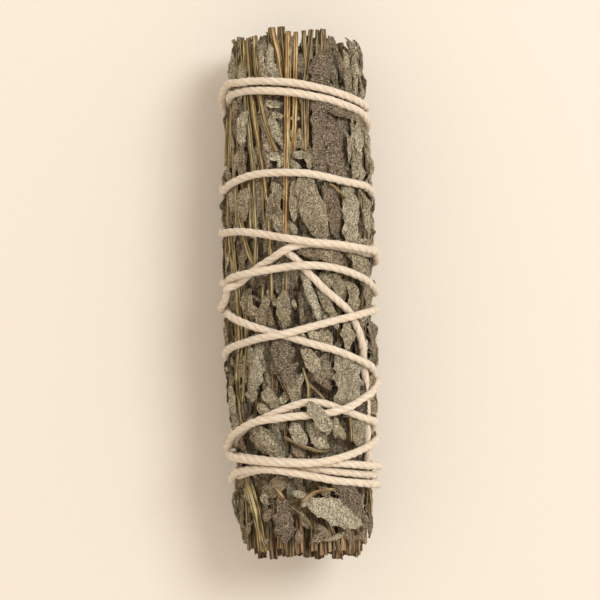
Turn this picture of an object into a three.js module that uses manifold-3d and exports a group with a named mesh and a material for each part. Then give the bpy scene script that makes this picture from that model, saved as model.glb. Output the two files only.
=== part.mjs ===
import * as THREE from "three";
import Module from "manifold-3d";

// A dried sage bundle lying along Y on the plane z = 0, bound with a cotton cord.
// Sizes are in millimetres. Places seen from above are in picture units.
const pictureUnit = 0.2;
const pictureMiddle = [299, 293];
const eyeHeight = 465;
const eyeDistance = 450;

// The bundle's oval section, measured to the middle of the cord.
const axisZ = 14.9;
const cordHalfWidth = 15.25;
const cordHalfHeight = 14.0;
const taper = 0.00085;
const taperMiddle = 2;
const leanOffset = 0.1;
const leanPerLength = -0.022;

// The binding cord, and the room that it takes among the herbs.
const cordRadius = 0.75;
const cordCornerRadius = 0.7725;
const cordSides = 5;
const cordClearance = 1.68;
const cordStep = 0.8;
const cordTolerance = 0.22;
const topShare = 0.65;
const routeSteps = 12;
const roomRadius = 1.35;
const roomSides = 4;
const roomTolerance = 0.35;

// The herbs.
const herbLevel = -0.95;
const bladeThickness = 0.7;
const bladeCrown = 0.5;
const bladeCup = 0.35;
const bladeWave = 0.5;
const bladeSwing = 0.9;
const stemSides = 5;
const rolledSides = 6;
const stemPitch = 9;
const brownRoot = 0.3;
const pieceGap = 0.2;
const pressReach = 3;
const pressSlope = 1.2;
const pressMargin = 0.55;
const smallestEdge = 0.02;

// The packed inside of the sprigs.
const coreDepth = 2.5;
const coreArcs = 4;
const coreTop = 43;
const coreBottom = -47;
const coreEndStep = 1.5;
const coreRoughness = 0.6;
const spaceRadius = 30;
const spaceEnd = 60;

// The leaves and cut stem ends on the sides and underneath.
const hiddenRows = 4;
const hiddenPitch = 21;
const hiddenLength = 17;
const hiddenWidth = 4.6;
const hiddenLevel = -0.3;
const hiddenStubs = 3;
const restingWidth = 6.5;
const restingLevel = 2.6;

const wasm = await Module();
wasm.setup();

function centreX(y) {
  return leanOffset + leanPerLength * y;
}

function halfWidth(y) {
  return cordHalfWidth - taper * (y - taperMiddle) ** 2;
}

function halfHeight(y) {
  return (halfWidth(y) * cordHalfHeight) / cordHalfWidth;
}

// A point at an angle round the bundle, at a level out from the middle of the cord.
function onOval(angle, y, level) {
  const x = centreX(y) + (halfWidth(y) + level) * Math.cos(angle);
  const z = axisZ + (halfHeight(y) + level) * Math.sin(angle);
  return new THREE.Vector3(x, y, z);
}

// The angle and length of a place seen from above in picture units.
function seenFromAbove(across, down, level) {
  let z = axisZ + cordHalfHeight;
  let angle = Math.PI / 2;
  let y = 0;
  for (let round = 0; round < 8; round++) {
    const scale = (pictureUnit * (eyeHeight - z)) / eyeDistance;
    y = (pictureMiddle[1] - down) * scale;
    const x = (across - pictureMiddle[0]) * scale;
    const share = (x - centreX(y)) / (halfWidth(y) + level);
    angle = Math.acos(Math.min(0.995, Math.max(-0.995, share)));
    z = axisZ + (halfHeight(y) + level) * Math.sin(angle);
  }
  return [angle, y];
}

// The cord's passes over the top, each from the right edge to the left edge.
const bottomTurnLow = [
  [374.7, 484.5],
  [340.3, 481.5],
  [321.2, 478],
  [302, 474.2],
  [282.9, 470.4],
  [263.8, 469],
  [251, 470],
  [238.3, 473],
  [230, 479.5],
];
const bottomTurnUnder = [
  [374.7, 475.5],
  [340.3, 472.5],
  [321, 470],
  [295, 468],
  [270, 468.5],
  [250, 471.5],
  [232, 476],
];
const bottomTurnMiddle = [
  [374.7, 466.5],
  [346.7, 464],
  [327.6, 463],
  [315, 462.5],
  [290, 462],
  [265, 460],
  [245, 457.5],
  [231, 455],
];
const lowerCrossUnder = [
  [376, 431.6],
  [374.6, 424.9],
  [363, 418],
  [348.8, 411.6],
  [334, 406.5],
  [327.6, 404.2],
  [308.4, 402.2],
  [289.3, 407.3],
  [270, 415],
  [250, 424],
  [236, 434],
  [230, 444],
];
const middleCrossUnder = [
  [377.3, 376.7],
  [368.4, 366.5],
  [353, 357.6],
  [333.9, 349.9],
  [314.8, 344.8],
  [295.7, 339.1],
  [276.5, 334],
  [257.4, 328.3],
  [238.3, 320.6],
  [225.5, 313, 2],
];
const upperMiddle = [
  [377.3, 291],
  [365.8, 280.1],
  [346.7, 271.2],
  [327.6, 266.7],
  [308.4, 265.4],
  [289.3, 266.7],
  [263.8, 271.2],
  [244.6, 275],
  [229.3, 280.1],
  [225, 284],
];
const upperWide = [
  [376.5, 260],
  [372, 252],
  [353, 247.6],
  [333.9, 244.4],
  [314.8, 243.1],
  [295.7, 239.9],
  [276.5, 236.7],
  [257.4, 233.5],
  [238.3, 231.6],
  [219.8, 232.9],
];
const upperSingle = [
  [372.2, 193.4],
  [365.8, 186.4],
  [346.7, 181.9],
  [327.6, 177.4],
  [308.4, 173.6],
  [289.3, 172.7],
  [270.2, 173],
  [251, 175.5],
  [231.9, 183.2],
  [219.8, 190.8],
];
const topTurnLower = [
  [365.8, 119.4],
  [362, 113.6],
  [346.7, 105.8],
  [327.6, 99.4],
  [308.4, 95.4],
  [289.3, 92.2],
  [263.8, 90.7],
  [244.6, 91],
  [231.9, 94],
  [224.9, 99.5],
];
const topTurnUpper = [
  [366, 107],
  [362, 103.8],
  [346.7, 96.3],
  [327.6, 89.9],
  [308.4, 85.6],
  [289.3, 82.4],
  [257.4, 81.2],
  [240, 83, 3],
  [227.4, 87.5, 3],
];
const crossingTurn = [
  [375, 252],
  [353, 249],
  [333.9, 246],
  [314.8, 244],
  [300.8, 244.8],
  [289.3, 248.2],
  [270.2, 259.7],
  [254.8, 268.6],
  [242, 278.8],
  [236.5, 284],
  [229.3, 291.6, 4],
  [222, 308, 4],
];
const middleOver = [
  [377, 309.4],
  [359.4, 314.2],
  [340.3, 319.3],
  [321.2, 324.4],
  [302, 329.5],
  [282.9, 334.6],
  [263.8, 337.8],
  [244.6, 342.9],
  [229.3, 348.7],
  [224, 353.8],
];
const lowerOver = [
  [376, 383],
  [369.6, 392],
  [356.9, 402.2],
  [342.9, 408.6],
  [327.6, 413.1],
  [308.4, 415.6],
  [295.7, 416.3],
  [276.5, 418.8],
  [257.4, 422],
  [244.6, 429],
  [234.4, 437.7],
  [230.3, 447],
];
const lastOver = [
  [375, 437.5],
  [365.8, 447.5],
  [346.7, 454.4],
  [327.6, 459.5],
  [308.4, 462.7],
  [282.9, 462.2],
  [263.8, 460.8],
  [244.6, 458.3],
  [232, 454.5],
];

// The loose end starts under the wide turn and runs down the right side.
const looseEnd = [
  [284, 250],
  [290, 255],
  [299.5, 262.2],
  [308.8, 273.8],
  [314.8, 279],
  [323.2, 288.2],
  [340.3, 302.8],
  [353, 314],
  [358.2, 328.3],
  [363.3, 347.4],
  [366, 360],
  [368, 385],
  [370, 420],
  [371, 450],
  [371, 470],
  [371, 482],
];

// Each turn in winding order: its pass over the top with its layer, then the layer underneath.
const turns = [
  [bottomTurnLow, 4, 2],
  [bottomTurnUnder, 1, 1],
  [bottomTurnMiddle, 2, 2],
  [lowerCrossUnder, 2, 2],
  [middleCrossUnder, 3, 2],
  [upperMiddle, 2, 2],
  [upperWide, 3, 2],
  [upperSingle, 2, 2],
  [topTurnLower, 2, 2],
  [topTurnUpper, 2, 3],
  [crossingTurn, 1, 3],
  [middleOver, 5, 3],
  [lowerOver, 4, 3],
  [lastOver, 4, 3],
];

// The whole route as angle, length and layer, the angle growing with each turn.
function cordRoute() {
  const route = [];
  for (const [across, down] of looseEnd) {
    const [angle, y] = seenFromAbove(across, down, 0);
    route.push({ angle, y, layer: 0 });
  }
  turns.forEach(([pass, topLayer, underLayer], turn) => {
    for (const [across, down, ownLayer] of pass) {
      const [angle, y] = seenFromAbove(across, down, 0);
      const layer = ownLayer ?? topLayer;
      route.push({ angle: angle + turn * 2 * Math.PI, y, layer });
    }
    const leaves = route[route.length - 1];
    const last = turn === turns.length - 1;
    const next = last ? [375, 478] : turns[turn + 1][0][0];
    const [nextAngle, nextY] = seenFromAbove(next[0], next[1], 0);
    const arrives = nextAngle + (turn + 1) * 2 * Math.PI;
    for (const share of last ? [0.15, 0.3, 0.42] : [0.2, 0.4, 0.6, 0.8]) {
      route.push({
        angle: leaves.angle + (arrives - leaves.angle) * share,
        y: leaves.y + (nextY - leaves.y) * share,
        layer: underLayer,
      });
    }
  });
  return route;
}

function catmullRom(a, b, c, d, t) {
  const along = 2 * b + (c - a) * t;
  const bend = (2 * a - 5 * b + 4 * c - d) * t * t;
  return 0.5 * (along + bend + (3 * b - a - 3 * c + d) * t * t * t);
}

// Evenly spaced stations along the route.
function cordStations() {
  const route = cordRoute();
  const fine = [];
  const at = (i) => route[Math.min(route.length - 1, Math.max(0, i))];
  for (let i = 0; i < route.length - 1; i++) {
    for (let step = 0; step < routeSteps; step++) {
      const t = step / routeSteps;
      const four = [at(i - 1), at(i), at(i + 1), at(i + 2)];
      fine.push({
        angle: catmullRom(...four.map((p) => p.angle), t),
        y: catmullRom(...four.map((p) => p.y), t),
        layer: t < 0.5 ? at(i).layer : at(i + 1).layer,
      });
    }
  }
  const stations = [fine[0]];
  let last = fine[0];
  let travelled = 0;
  for (const point of fine.slice(1)) {
    const across = (point.angle - last.angle) * halfWidth(point.y);
    travelled += Math.hypot(across, point.y - last.y);
    last = point;
    if (travelled < cordStep) continue;
    travelled = 0;
    stations.push(point);
  }
  return stations;
}

// How far one cord stands over another that passes it at a distance.
function standOver(distance) {
  const share = distance / (2 * cordClearance);
  return share < 1 ? cordClearance * (1 - share * share) ** 2 : 0;
}

function fadeOut(distance) {
  const share = (distance / cordClearance - 0.9) / 1.1;
  return 0.5 + 0.5 * Math.cos(Math.PI * Math.min(1, Math.max(0, share)));
}

// The distance between two stations on the unrolled bundle.
function apart(a, b) {
  let turn = (a.angle - b.angle) % (2 * Math.PI);
  if (turn > Math.PI) turn -= 2 * Math.PI;
  if (turn < -Math.PI) turn += 2 * Math.PI;
  return Math.hypot(turn * cordHalfWidth, a.y - b.y);
}

// The level of each station: crossing cords rise over, and press down, the ones beneath.
function liftCord(stations) {
  const reach = 2 * cordClearance;
  const near = stations.map((a, i) => {
    const found = [];
    stations.forEach((b, j) => {
      if (a.layer === b.layer || Math.abs(a.y - b.y) > reach) return;
      if (Math.abs(i - j) * cordStep < 3 * cordClearance) return;
      const distance = apart(a, b);
      if (distance < reach) found.push([j, distance]);
    });
    return found;
  });
  const layers = [...new Set(stations.map((s) => s.layer))].sort();
  for (const station of stations) station.lift = 0;
  for (const layer of layers) {
    stations.forEach((a, i) => {
      if (a.layer !== layer) return;
      const share = topShare * (0.5 + 0.5 * Math.sin(a.angle));
      let pressed = 0;
      for (const [j, distance] of near[i]) {
        if (stations[j].layer < layer) continue;
        pressed = Math.max(pressed, (1 - share) * standOver(distance));
      }
      a.lift = -pressed;
      for (const [j, distance] of near[i]) {
        const b = stations[j];
        if (b.layer > layer) continue;
        const held = b.lift * fadeOut(distance) + standOver(distance);
        a.lift = Math.max(a.lift, held);
      }
    });
  }
  const smooth = stations.map((s) => s.lift);
  for (let i = 1; i < stations.length - 1; i++) {
    const mean = (smooth[i - 1] + smooth[i] + smooth[i + 1]) / 3;
    const keeps = smooth[i] > 0 ? Math.max : Math.min;
    stations[i].lift = keeps(mean, smooth[i]);
  }
}

const stations = cordStations();
liftCord(stations);
for (const station of stations) {
  station.point = onOval(station.angle, station.y, station.lift);
}

// A manifold solid from points and triangles, turned to face out.
function solidFrom(points, triangles) {
  let volume = 0;
  for (const [a, b, c] of triangles) {
    volume += points[a].dot(points[b].clone().cross(points[c]));
  }
  const triVerts = triangles.flatMap(([a, b, c]) => (volume > 0 ? [a, b, c] : [a, c, b]));
  const vertProperties = new Float32Array(points.flatMap((p) => [p.x, p.y, p.z]));
  const mesh = { numProp: 3, vertProperties, triVerts: new Uint32Array(triVerts) };
  return new wasm.Manifold(new wasm.Mesh(mesh));
}

// A round bar of a few sides through points, with a radius at each of them.
function bar(points, radii, sides) {
  const corners = [];
  const triangles = [];
  const last = points.length - 1;
  points.forEach((point, i) => {
    const along = points[Math.min(last, i + 1)].clone().sub(points[Math.max(0, i - 1)]);
    along.normalize();
    const out = new THREE.Vector3(point.x - centreX(point.y), 0, point.z - axisZ);
    out.addScaledVector(along, -out.dot(along)).normalize();
    const side = along.clone().cross(out);
    for (let k = 0; k < sides; k++) {
      const turn = ((k + 0.5) / sides) * 2 * Math.PI;
      const corner = point.clone().addScaledVector(out, radii[i] * Math.cos(turn));
      corners.push(corner.addScaledVector(side, radii[i] * Math.sin(turn)));
    }
    if (i === 0) return;
    for (let k = 0; k < sides; k++) {
      const a = (i - 1) * sides + k;
      const b = (i - 1) * sides + ((k + 1) % sides);
      triangles.push([a, b, b + sides], [a, b + sides, a + sides]);
    }
  });
  for (let k = 1; k < sides - 1; k++) {
    triangles.push([0, k + 1, k]);
    triangles.push([last * sides, last * sides + k, last * sides + k + 1]);
  }
  return solidFrom(corners, triangles);
}

// The stations that are needed to stay within a distance of the whole path.
function thinned(points, tolerance) {
  const keep = new Set([0, points.length - 1]);
  const line = new THREE.Line3();
  const nearest = new THREE.Vector3();
  const spans = [[0, points.length - 1]];
  while (spans.length) {
    const [from, to] = spans.pop();
    line.set(points[from], points[to]);
    let worst = tolerance;
    let middle = 0;
    for (let i = from + 1; i < to; i++) {
      const gap = line.closestPointToPoint(points[i], true, nearest).distanceTo(points[i]);
      if (gap > worst) [worst, middle] = [gap, i];
    }
    if (!middle) continue;
    keep.add(middle);
    spans.push([from, middle], [middle, to]);
  }
  return [...keep].sort((a, b) => a - b).map((i) => points[i]);
}

// How high a herb may stand beside and under the cord, from the herbs' own surface.
function pressLevel(angle, y) {
  const reach = cordRadius + pieceGap;
  let lowest = 9;
  for (const station of stations) {
    if (Math.abs(station.y - y) > pressReach) continue;
    const distance = apart({ angle, y }, station);
    if (distance > pressReach) continue;
    const beside = Math.max(0, distance - reach);
    const under = Math.sqrt(Math.max(0, reach * reach - distance * distance));
    const level = station.lift + reach - under + pressSlope * beside;
    lowest = Math.min(lowest, level - pressMargin);
  }
  return lowest;
}

// Draws that come out the same each time.
function seeded(seed) {
  let state = seed;
  return () => {
    state = (state * 16807) % 2147483647;
    return state / 2147483647;
  };
}

// The width of a leaf along its length, and how its end is finished.
const ovalWidths = [0.4, 0.82, 1, 0.78, 0];
const bluntWidths = [0.55, 0.95, 1, 0.9, 0.6];
const longWidths = [0.4, 0.8, 0.95, 1, 0.95, 0.8, 0.45];
const hiddenWidths = [0.4, 0.95, 0.8, 0];

// A leaf blade that lies on the bundle, its root sunk into the core.
function blade(leaf, grow) {
  const { from, to, width, level, root, widths, draw } = leaf;
  const across = (to[0] - from[0]) * cordHalfWidth;
  const along = to[1] - from[1];
  const length = Math.hypot(across, along);
  const sideAngle = -along / length / cordHalfWidth;
  const sideY = across / length;
  const top = [];
  const under = [];
  const rows = [];
  const last = widths.length - 1;
  widths.forEach((share, i) => {
    const t = i / last + (grow && i === last ? grow / length : 0);
    const half = (width * share) / 2 + grow;
    const sides = share > 0 ? [-1, 0, 1] : [0];
    const row = [];
    const swing = (draw() - 0.5) * bladeSwing;
    for (const side of sides) {
      const wave = (draw() - 0.5) * bladeWave;
      const reach = side * half * (1 + wave * 0.3) + swing * Math.sin(Math.PI * t);
      const angle = from[0] + (to[0] - from[0]) * t + sideAngle * reach;
      const y = from[1] + along * t + sideY * reach;
      const sunk = i === 0 ? root : 0;
      const cup = wave * 0.8 - bladeCup * Math.abs(side);
      let height = level - sunk + cup + bladeCrown * Math.sin(Math.PI * t);
      height = Math.min(height, pressLevel(angle, y));
      row.push(top.length);
      top.push(onOval(angle, y, herbLevel + height + grow));
      under.push(onOval(angle, y, herbLevel + height - bladeThickness - grow));
    }
    rows.push(row);
  });
  const faces = [];
  for (let i = 0; i < last; i++) {
    const [a, b] = [rows[i], rows[i + 1]];
    if (b.length === 1) faces.push([a[0], a[1], b[0]], [a[1], a[2], b[0]]);
    else {
      faces.push([a[0], a[1], b[1]], [a[0], b[1], b[0]]);
      faces.push([a[1], a[2], b[1]], [a[2], b[2], b[1]]);
    }
  }
  const count = top.length;
  const triangles = [];
  for (const [a, b, c] of faces) {
    triangles.push([a, b, c], [a + count, c + count, b + count]);
  }
  const rim = rows.map((row) => row[0]);
  const end = rows[last];
  rim.push(...end.slice(1));
  for (let i = last - 1; i >= 0; i--) rim.push(rows[i][2]);
  rim.push(rows[0][1]);
  rim.forEach((a, i) => {
    const b = rim[(i + 1) % rim.length];
    triangles.push([a, b, b + count], [a, b + count, a + count]);
  });
  return solidFrom([...top, ...under], triangles);
}

// Leaves seen from above: root across and down, tip across and down, width, level.
const ovalLeaves = [
  [240, 97, 244, 67, 2.8, 0.2],
  [279, 95, 267, 43, 3.4, 0.3],
  [349, 100, 345, 52, 2.6, -0.4],
  [362, 108, 360, 60, 2.4, 0.2],
  [244, 108, 240, 146, 3.2, 0.4],
  [240, 138, 245, 178, 3.2, 0.2],
  [268, 108, 281, 147, 2.2, 0.3],
  [285, 157, 303, 158, 1.8, -0.3],
  [316, 93, 320, 180, 4.2, 0.8],
  [365, 125, 324, 105, 3.2, 0.6],
  [354, 188, 353, 118, 2.2, 1.2],
  [361, 190, 358, 117, 2.6, 1.3],
  [372, 184, 366, 128, 2.6, 1.4],
  [246, 184, 244, 222, 3.6, -0.2],
  [279, 180, 274, 232, 3.0, -0.3],
  [295, 176, 293, 222, 2.6, 0.2],
  [303, 170, 325, 242, 5.2, 1.0],
  [326, 178, 338, 238, 3.8, 0.0],
  [350, 184, 354, 250, 4.6, 1.3],
  [362, 186, 371, 240, 3.0, 1.2],
  [312, 244, 342, 268, 3.4, 0.5],
  [350, 250, 372, 276, 4.2, 0.9],
  [302, 268, 321, 324, 3.0, 0.9],
  [316, 284, 334, 320, 2.2, 0.4],
  [332, 272, 345, 304, 3.4, 0.3],
  [348, 280, 356, 316, 3.2, 0.9],
  [364, 282, 368, 312, 3.0, 1.1],
  [248, 286, 252, 322, 3.2, -0.2],
  [269, 290, 262, 334, 3.0, -0.4],
  [284, 285, 283, 332, 3.0, 0.3],
  [345, 320, 350, 352, 3.4, 0.8],
  [326, 326, 322, 352, 3.2, 0.2],
  [371, 318, 374, 362, 3.0, 1.3],
  [258, 340, 249, 402, 4.4, 0.6],
  [262, 386, 281, 414, 2.8, 0.2],
  [290, 374, 298, 406, 2.6, 0.1],
  [300, 346, 322, 378, 2.8, 0.2],
  [325, 358, 330, 384, 2.6, -0.2],
  [344, 350, 349, 412, 6.0, 1.3],
  [370, 372, 371, 420, 3.6, 1.4],
  [333, 437, 309, 401, 3.6, 1.6],
  [291, 421, 307, 445, 3.2, 0.7],
  [306, 421, 330, 450, 3.0, 0.8],
  [358, 416, 361, 448, 3.8, 0.9],
  [247, 426, 278, 456, 4.6, 0.6],
  [240, 436, 246, 458, 2.8, 0.6],
  [288, 491, 316, 501, 2.0, 0.3],
  [303, 500, 364, 524, 5.4, 1.2],
  [290, 478, 262, 500, 3.4, -0.5],
  [231, 374, 233, 420, 3.2, 0.9],
  [226, 318, 227, 350, 2.6, 0.9],
  [244, 490, 238, 540, 3.0, 0.0],
];
const rolledLeaves = [
  [231, 96, 232, 48, 2.1, 0.5],
  [345, 78, 335.5, 43, 1.8, 0.3],
  [358, 100, 356, 49, 1.5, 1.0],
  [299, 292, 303, 328, 1.6, 0.2],
  [372, 508, 373, 538, 1.9, 0.9],
  [366, 512, 365, 544, 1.5, 0.9],
  [322, 541, 347, 531, 1.3, 0.6],
];
const brownLeaves = [
  ["brown_leaf_top", 330, 112, 322, 52, 5.6, 1.2],
  ["brown_leaf_upper", 339, 182, 333, 119, 4.6, 1.3],
  ["brown_leaf_middle", 278, 336, 294, 385, 5.6, 1.4],
  ["brown_leaf_low", 284, 500, 283, 543, 4.6, 0.9],
  ["brown_leaf_ragged", 338, 482, 366, 517, 4.8, 1.9],
];

// Bare stems seen from above: a radius, then across, down and level for each point.
const bareStems = {
  straw_stem_middle: [
    0.55,
    [288.5, 31.5, -1.2],
    [287, 80, -0.9],
    [287, 150, -0.9],
    [285.6, 205, -0.9],
    [285, 238, -1.2],
  ],
  straw_stem_right: [
    0.5,
    [295.7, 32, -1.5],
    [295.3, 90, -0.9],
    [293.5, 152, -1.3],
  ],
  straw_stem_inner: [
    0.5,
    [248.5, 38.5, -1.0],
    [250.5, 79, -0.9],
    [255, 120, -0.8],
    [262, 162, -0.8],
    [267.4, 204, -0.7],
    [270.5, 256, -1.0],
  ],
  straw_stem_slanting: [
    0.65,
    [254.8, 36.5, -0.9],
    [258, 80, -0.9],
    [265, 122, -0.6],
    [276, 152, -0.9],
  ],
  olive_stem_left: [
    0.5,
    [241.5, 40, -0.9],
    [244.5, 75, -0.9],
    [249, 126, -0.6],
    [254, 172, -0.9],
    [256, 228, -0.8],
    [255.3, 266, -1.0],
  ],
  straw_stem_edge: [
    0.5,
    [233.5, 97, -0.9],
    [227.4, 144, -0.4],
    [223, 205, -0.4],
    [223.4, 275, -0.7],
  ],
  straw_stem_bent: [
    0.5,
    [236.5, 90, -0.9],
    [231.7, 126, -0.4],
    [235, 174, -0.9],
    [242, 227, -0.6],
    [249, 256, -0.7],
    [254, 265, -1.0],
  ],
  olive_stem_long: [
    0.6,
    [228, 195, -0.4],
    [231, 238, -0.6],
    [238, 292, -0.3],
    [241, 345, -0.4],
    [237.5, 372, -0.1],
    [239, 395, -0.3],
    [244, 424, -0.9],
  ],
  straw_stem_thick: [
    0.95,
    [246.5, 470, -1.5],
    [252, 490, -0.5],
    [259, 510, 0.1],
    [263, 551, -0.2],
  ],
  olive_stem_low: [
    0.65,
    [239, 468, -1.2],
    [240, 500, 0.0],
    [237.5, 527, 0.0],
  ],
  straw_stem_short: [
    0.45,
    [279, 476, -1.0],
    [279, 514, -0.7],
  ],
  brown_stem_upper: [
    0.55,
    [311, 30, -1.2],
    [303, 95, -1.0],
    [304, 152, -0.8],
  ],
};

// Cut stem ends seen from above: across, down and level of the end, and radius.
const topStubs = [
  [272, 28, -1.5, 0.8],
  [282, 27, -2.5, 0.8],
  [304, 31, -1.2, 0.55],
  [317.5, 30, -3.0, 0.4],
  [323.5, 30, -1.8, 0.75],
  [329.5, 41, -1.5, 0.4],
  [340, 50, -3.0, 0.6],
];
const bottomStubs = [
  [234, 546, -0.6, 0.8],
  [243, 548, -0.9, 0.8],
  [251, 553, -1.8, 0.85],
  [261, 558, -2.2, 0.9],
  [274.5, 559, -1.6, 0.8],
  [287, 556, -1.6, 0.85],
  [300, 553, -0.4, 0.95],
  [309, 557, -2.2, 0.8],
  [319, 558, -1.8, 0.85],
  [328, 545, -2.6, 0.8],
  [337, 559, -1.2, 1.0],
  [346, 555, -1.0, 0.85],
  [354, 556, -0.9, 0.85],
  [362, 555, -0.7, 0.8],
  [369, 551, -0.5, 0.7],
];

// The leafy sprigs lie side by side round the bundle, each from one angle to the next.
const sprigAngles = [-15, 33, 88, 136, 184, 216, 248, 292, 345].map(THREE.MathUtils.degToRad);
const sprigSeeds = [11, 23, 37, 41, 53, 67, 79, 83];
const restingSprig = 6;
const hiddenColumns = [[0], [], [], [1], [0, 1], [0, 1], [], [0, 1]];
const restingLeaves = [
  [40, 24],
  [20, 2],
  [0, -16],
  [-14, -29],
];

function sprigAt(angle) {
  const turned = angle < sprigAngles[0] ? angle + 2 * Math.PI : angle;
  return sprigAngles.findIndex((start, i) => turned >= start && turned < sprigAngles[i + 1]);
}

// The space that one sprig may fill.
function sprigSpace(index) {
  const [start, end] = [sprigAngles[index], sprigAngles[index + 1]];
  const flatness = cordHalfHeight / cordHalfWidth;
  const towards = (angle) => new THREE.Vector3(Math.cos(angle), 0, flatness * Math.sin(angle));
  const middle = towards((start + end) / 2).normalize();
  const sideways = towards(start).normalize().cross(middle).length();
  const apex = middle.clone().multiplyScalar(pieceGap / 2 / sideways);
  const corners = [
    apex.clone(),
    towards(start).multiplyScalar(spaceRadius).add(apex),
    middle.clone().multiplyScalar(2 * spaceRadius),
    towards(end).multiplyScalar(spaceRadius).add(apex),
  ];
  const points = [];
  for (const y of [-spaceEnd, spaceEnd]) {
    const centre = new THREE.Vector3(centreX(y), y, axisZ);
    points.push(...corners.map((corner) => corner.clone().add(centre)));
  }
  const triangles = [[0, 1, 2], [0, 2, 3], [4, 6, 5], [4, 7, 6]];
  for (let i = 0; i < 4; i++) {
    const j = (i + 1) % 4;
    triangles.push([i, j + 4, j], [i, i + 4, j + 4]);
  }
  return solidFrom(points, triangles);
}

// The packed inside of one sprig, which its leaves and stems stand out of.
function sprigCore(index, draw) {
  const [start, end] = [sprigAngles[index], sprigAngles[index + 1]];
  const lengths = [coreBottom, -28, 0, 24, coreTop];
  const points = [];
  for (const y of lengths) {
    points.push(new THREE.Vector3(centreX(y), y, axisZ));
    const step = y === coreBottom || y === coreTop ? coreEndStep : 0;
    for (let i = 0; i < coreArcs; i++) {
      const angle = start + ((end - start) * i) / (coreArcs - 1);
      const depth = coreDepth + step + coreRoughness * draw();
      points.push(onOval(angle, y, herbLevel - depth));
    }
  }
  const ring = coreArcs + 1;
  const triangles = [];
  for (let row = 0; row < lengths.length - 1; row++) {
    for (let i = 0; i < ring; i++) {
      const a = row * ring + i;
      const b = row * ring + ((i + 1) % ring);
      triangles.push([a, b, b + ring], [a, b + ring, a + ring]);
    }
  }
  const top = (lengths.length - 1) * ring;
  for (let i = 1; i < ring - 1; i++) {
    triangles.push([0, i + 1, i], [top, top + i, top + i + 1]);
  }
  return solidFrom(points, triangles);
}

// How deep the root of a leaf at level 0 is sunk.
const rootDepth = coreDepth + 1.4;

function seenLeaf(row, widths, draw) {
  const [rootAcross, rootDown, tipAcross, tipDown, width, level] = row;
  const from = seenFromAbove(rootAcross, rootDown, herbLevel + level);
  const to = seenFromAbove(tipAcross, tipDown, herbLevel + level);
  return { from, to, width, level, root: rootDepth + level, widths, draw };
}

function seenPoint(across, down, level) {
  const [angle, y] = seenFromAbove(across, down, herbLevel + level);
  return onOval(angle, y, herbLevel + level);
}

// The leaves that no view from above shows, placed by a rule.
function hiddenLeaves(index, draw) {
  const [start, end] = [sprigAngles[index], sprigAngles[index + 1]];
  const leaves = [];
  for (let row = 0; row < hiddenRows; row++) {
    for (const column of hiddenColumns[index]) {
      const y = 40 - row * hiddenPitch - column * 7 - 2 * draw();
      const angle = start + (end - start) * (0.27 + 0.46 * column);
      const lean = (draw() - 0.5) * 0.16;
      leaves.push({
        from: [angle, y],
        to: [angle + lean, Math.max(y - hiddenLength - 2 * draw(), -50)],
        width: hiddenWidth + 0.6 * draw(),
        level: hiddenLevel,
        root: rootDepth + hiddenLevel,
        widths: hiddenWidths,
        draw,
      });
    }
  }
  return leaves;
}

// A cut stem end that stands out of the core.
function stub(angle, level, end, radius, draw) {
  const inside = end > 0 ? coreTop - 3 : coreBottom + 3;
  const lean = 0.05 * (draw() - 0.5);
  const points = [onOval(angle, inside, level), onOval(angle + lean, end, level)];
  return bar(points, [radius, radius * 0.95], stemSides);
}

function stubsBehind(index, draw) {
  const [start, end] = [sprigAngles[index], sprigAngles[index + 1]];
  const onTop = start > 0.3 && end < 2.6;
  const stubs = [];
  for (let i = 0; i < hiddenStubs; i++) {
    for (const side of [-1, 1]) {
      const angle = start + (end - start) * (0.2 + 0.6 * draw());
      const level = (onTop ? -6 : -3) - 6 * draw();
      const reach = side > 0 ? 46.5 + 4 * draw() : -49.5 - 2.5 * draw();
      stubs.push(stub(angle, level, reach, 0.65 + 0.25 * draw(), draw));
    }
  }
  return stubs;
}

// The leaves underneath that the bundle lies on.
function restingBlades(draw) {
  const angle = (3 / 2) * Math.PI;
  return restingLeaves.map(([from, to]) => {
    const leaf = { from: [angle, from], to: [angle, to], width: restingWidth };
    const root = rootDepth + restingLevel;
    return blade({ ...leaf, level: restingLevel, root, widths: longWidths, draw }, 0);
  });
}

// A leaf rolled up lengthwise.
function rolledLeaf([rootAcross, rootDown, tipAcross, tipDown, width, level]) {
  const points = [
    seenPoint(rootAcross, rootDown, level - rootDepth),
    seenPoint((rootAcross + tipAcross) / 2, (rootDown + tipDown) / 2, level - width / 2),
    seenPoint(tipAcross, tipDown, level - width / 2),
  ];
  return bar(points, [width * 0.35, width / 2, width * 0.45], rolledSides);
}

function largest(solid) {
  const bodies = solid.decompose();
  return bodies.reduce((best, body) => (body.volume() > best.volume() ? body : best));
}

const floorSpace = wasm.Manifold.cube([200, 200, 100], true).translate([0, 0, 50]);

// A bar of the same radius along its whole length.
function evenBar(points, radius, sides) {
  return bar(points, points.map(() => radius), sides);
}

const cordLine = stations.map((station) => station.point);
const cordPath = thinned(cordLine, cordTolerance);
const cordSolid = evenBar(cordPath, cordCornerRadius, cordSides);
const roomPath = thinned(cordPath, roomTolerance);
const cordRoom = evenBar(roomPath, roomRadius, roomSides);

// The bare stems, each kept clear of the cord and of the ones before it.
const pieces = [];
const rooms = [cordRoom];
for (const [name, [radius, ...route]] of Object.entries(bareStems)) {
  const places = route.map((place) => seenPoint(...place));
  const curve = new THREE.CatmullRomCurve3(places, false, "centripetal");
  const points = curve.getPoints(Math.max(4, Math.round(curve.getLength() / stemPitch)));
  let solid = evenBar(points, radius, stemSides);
  for (const room of rooms) solid = solid.subtract(room);
  pieces.push({ name, solid: largest(solid), kind: name.split("_")[0] });
  rooms.push(evenBar(points, radius + pieceGap, stemSides));
}

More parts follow.
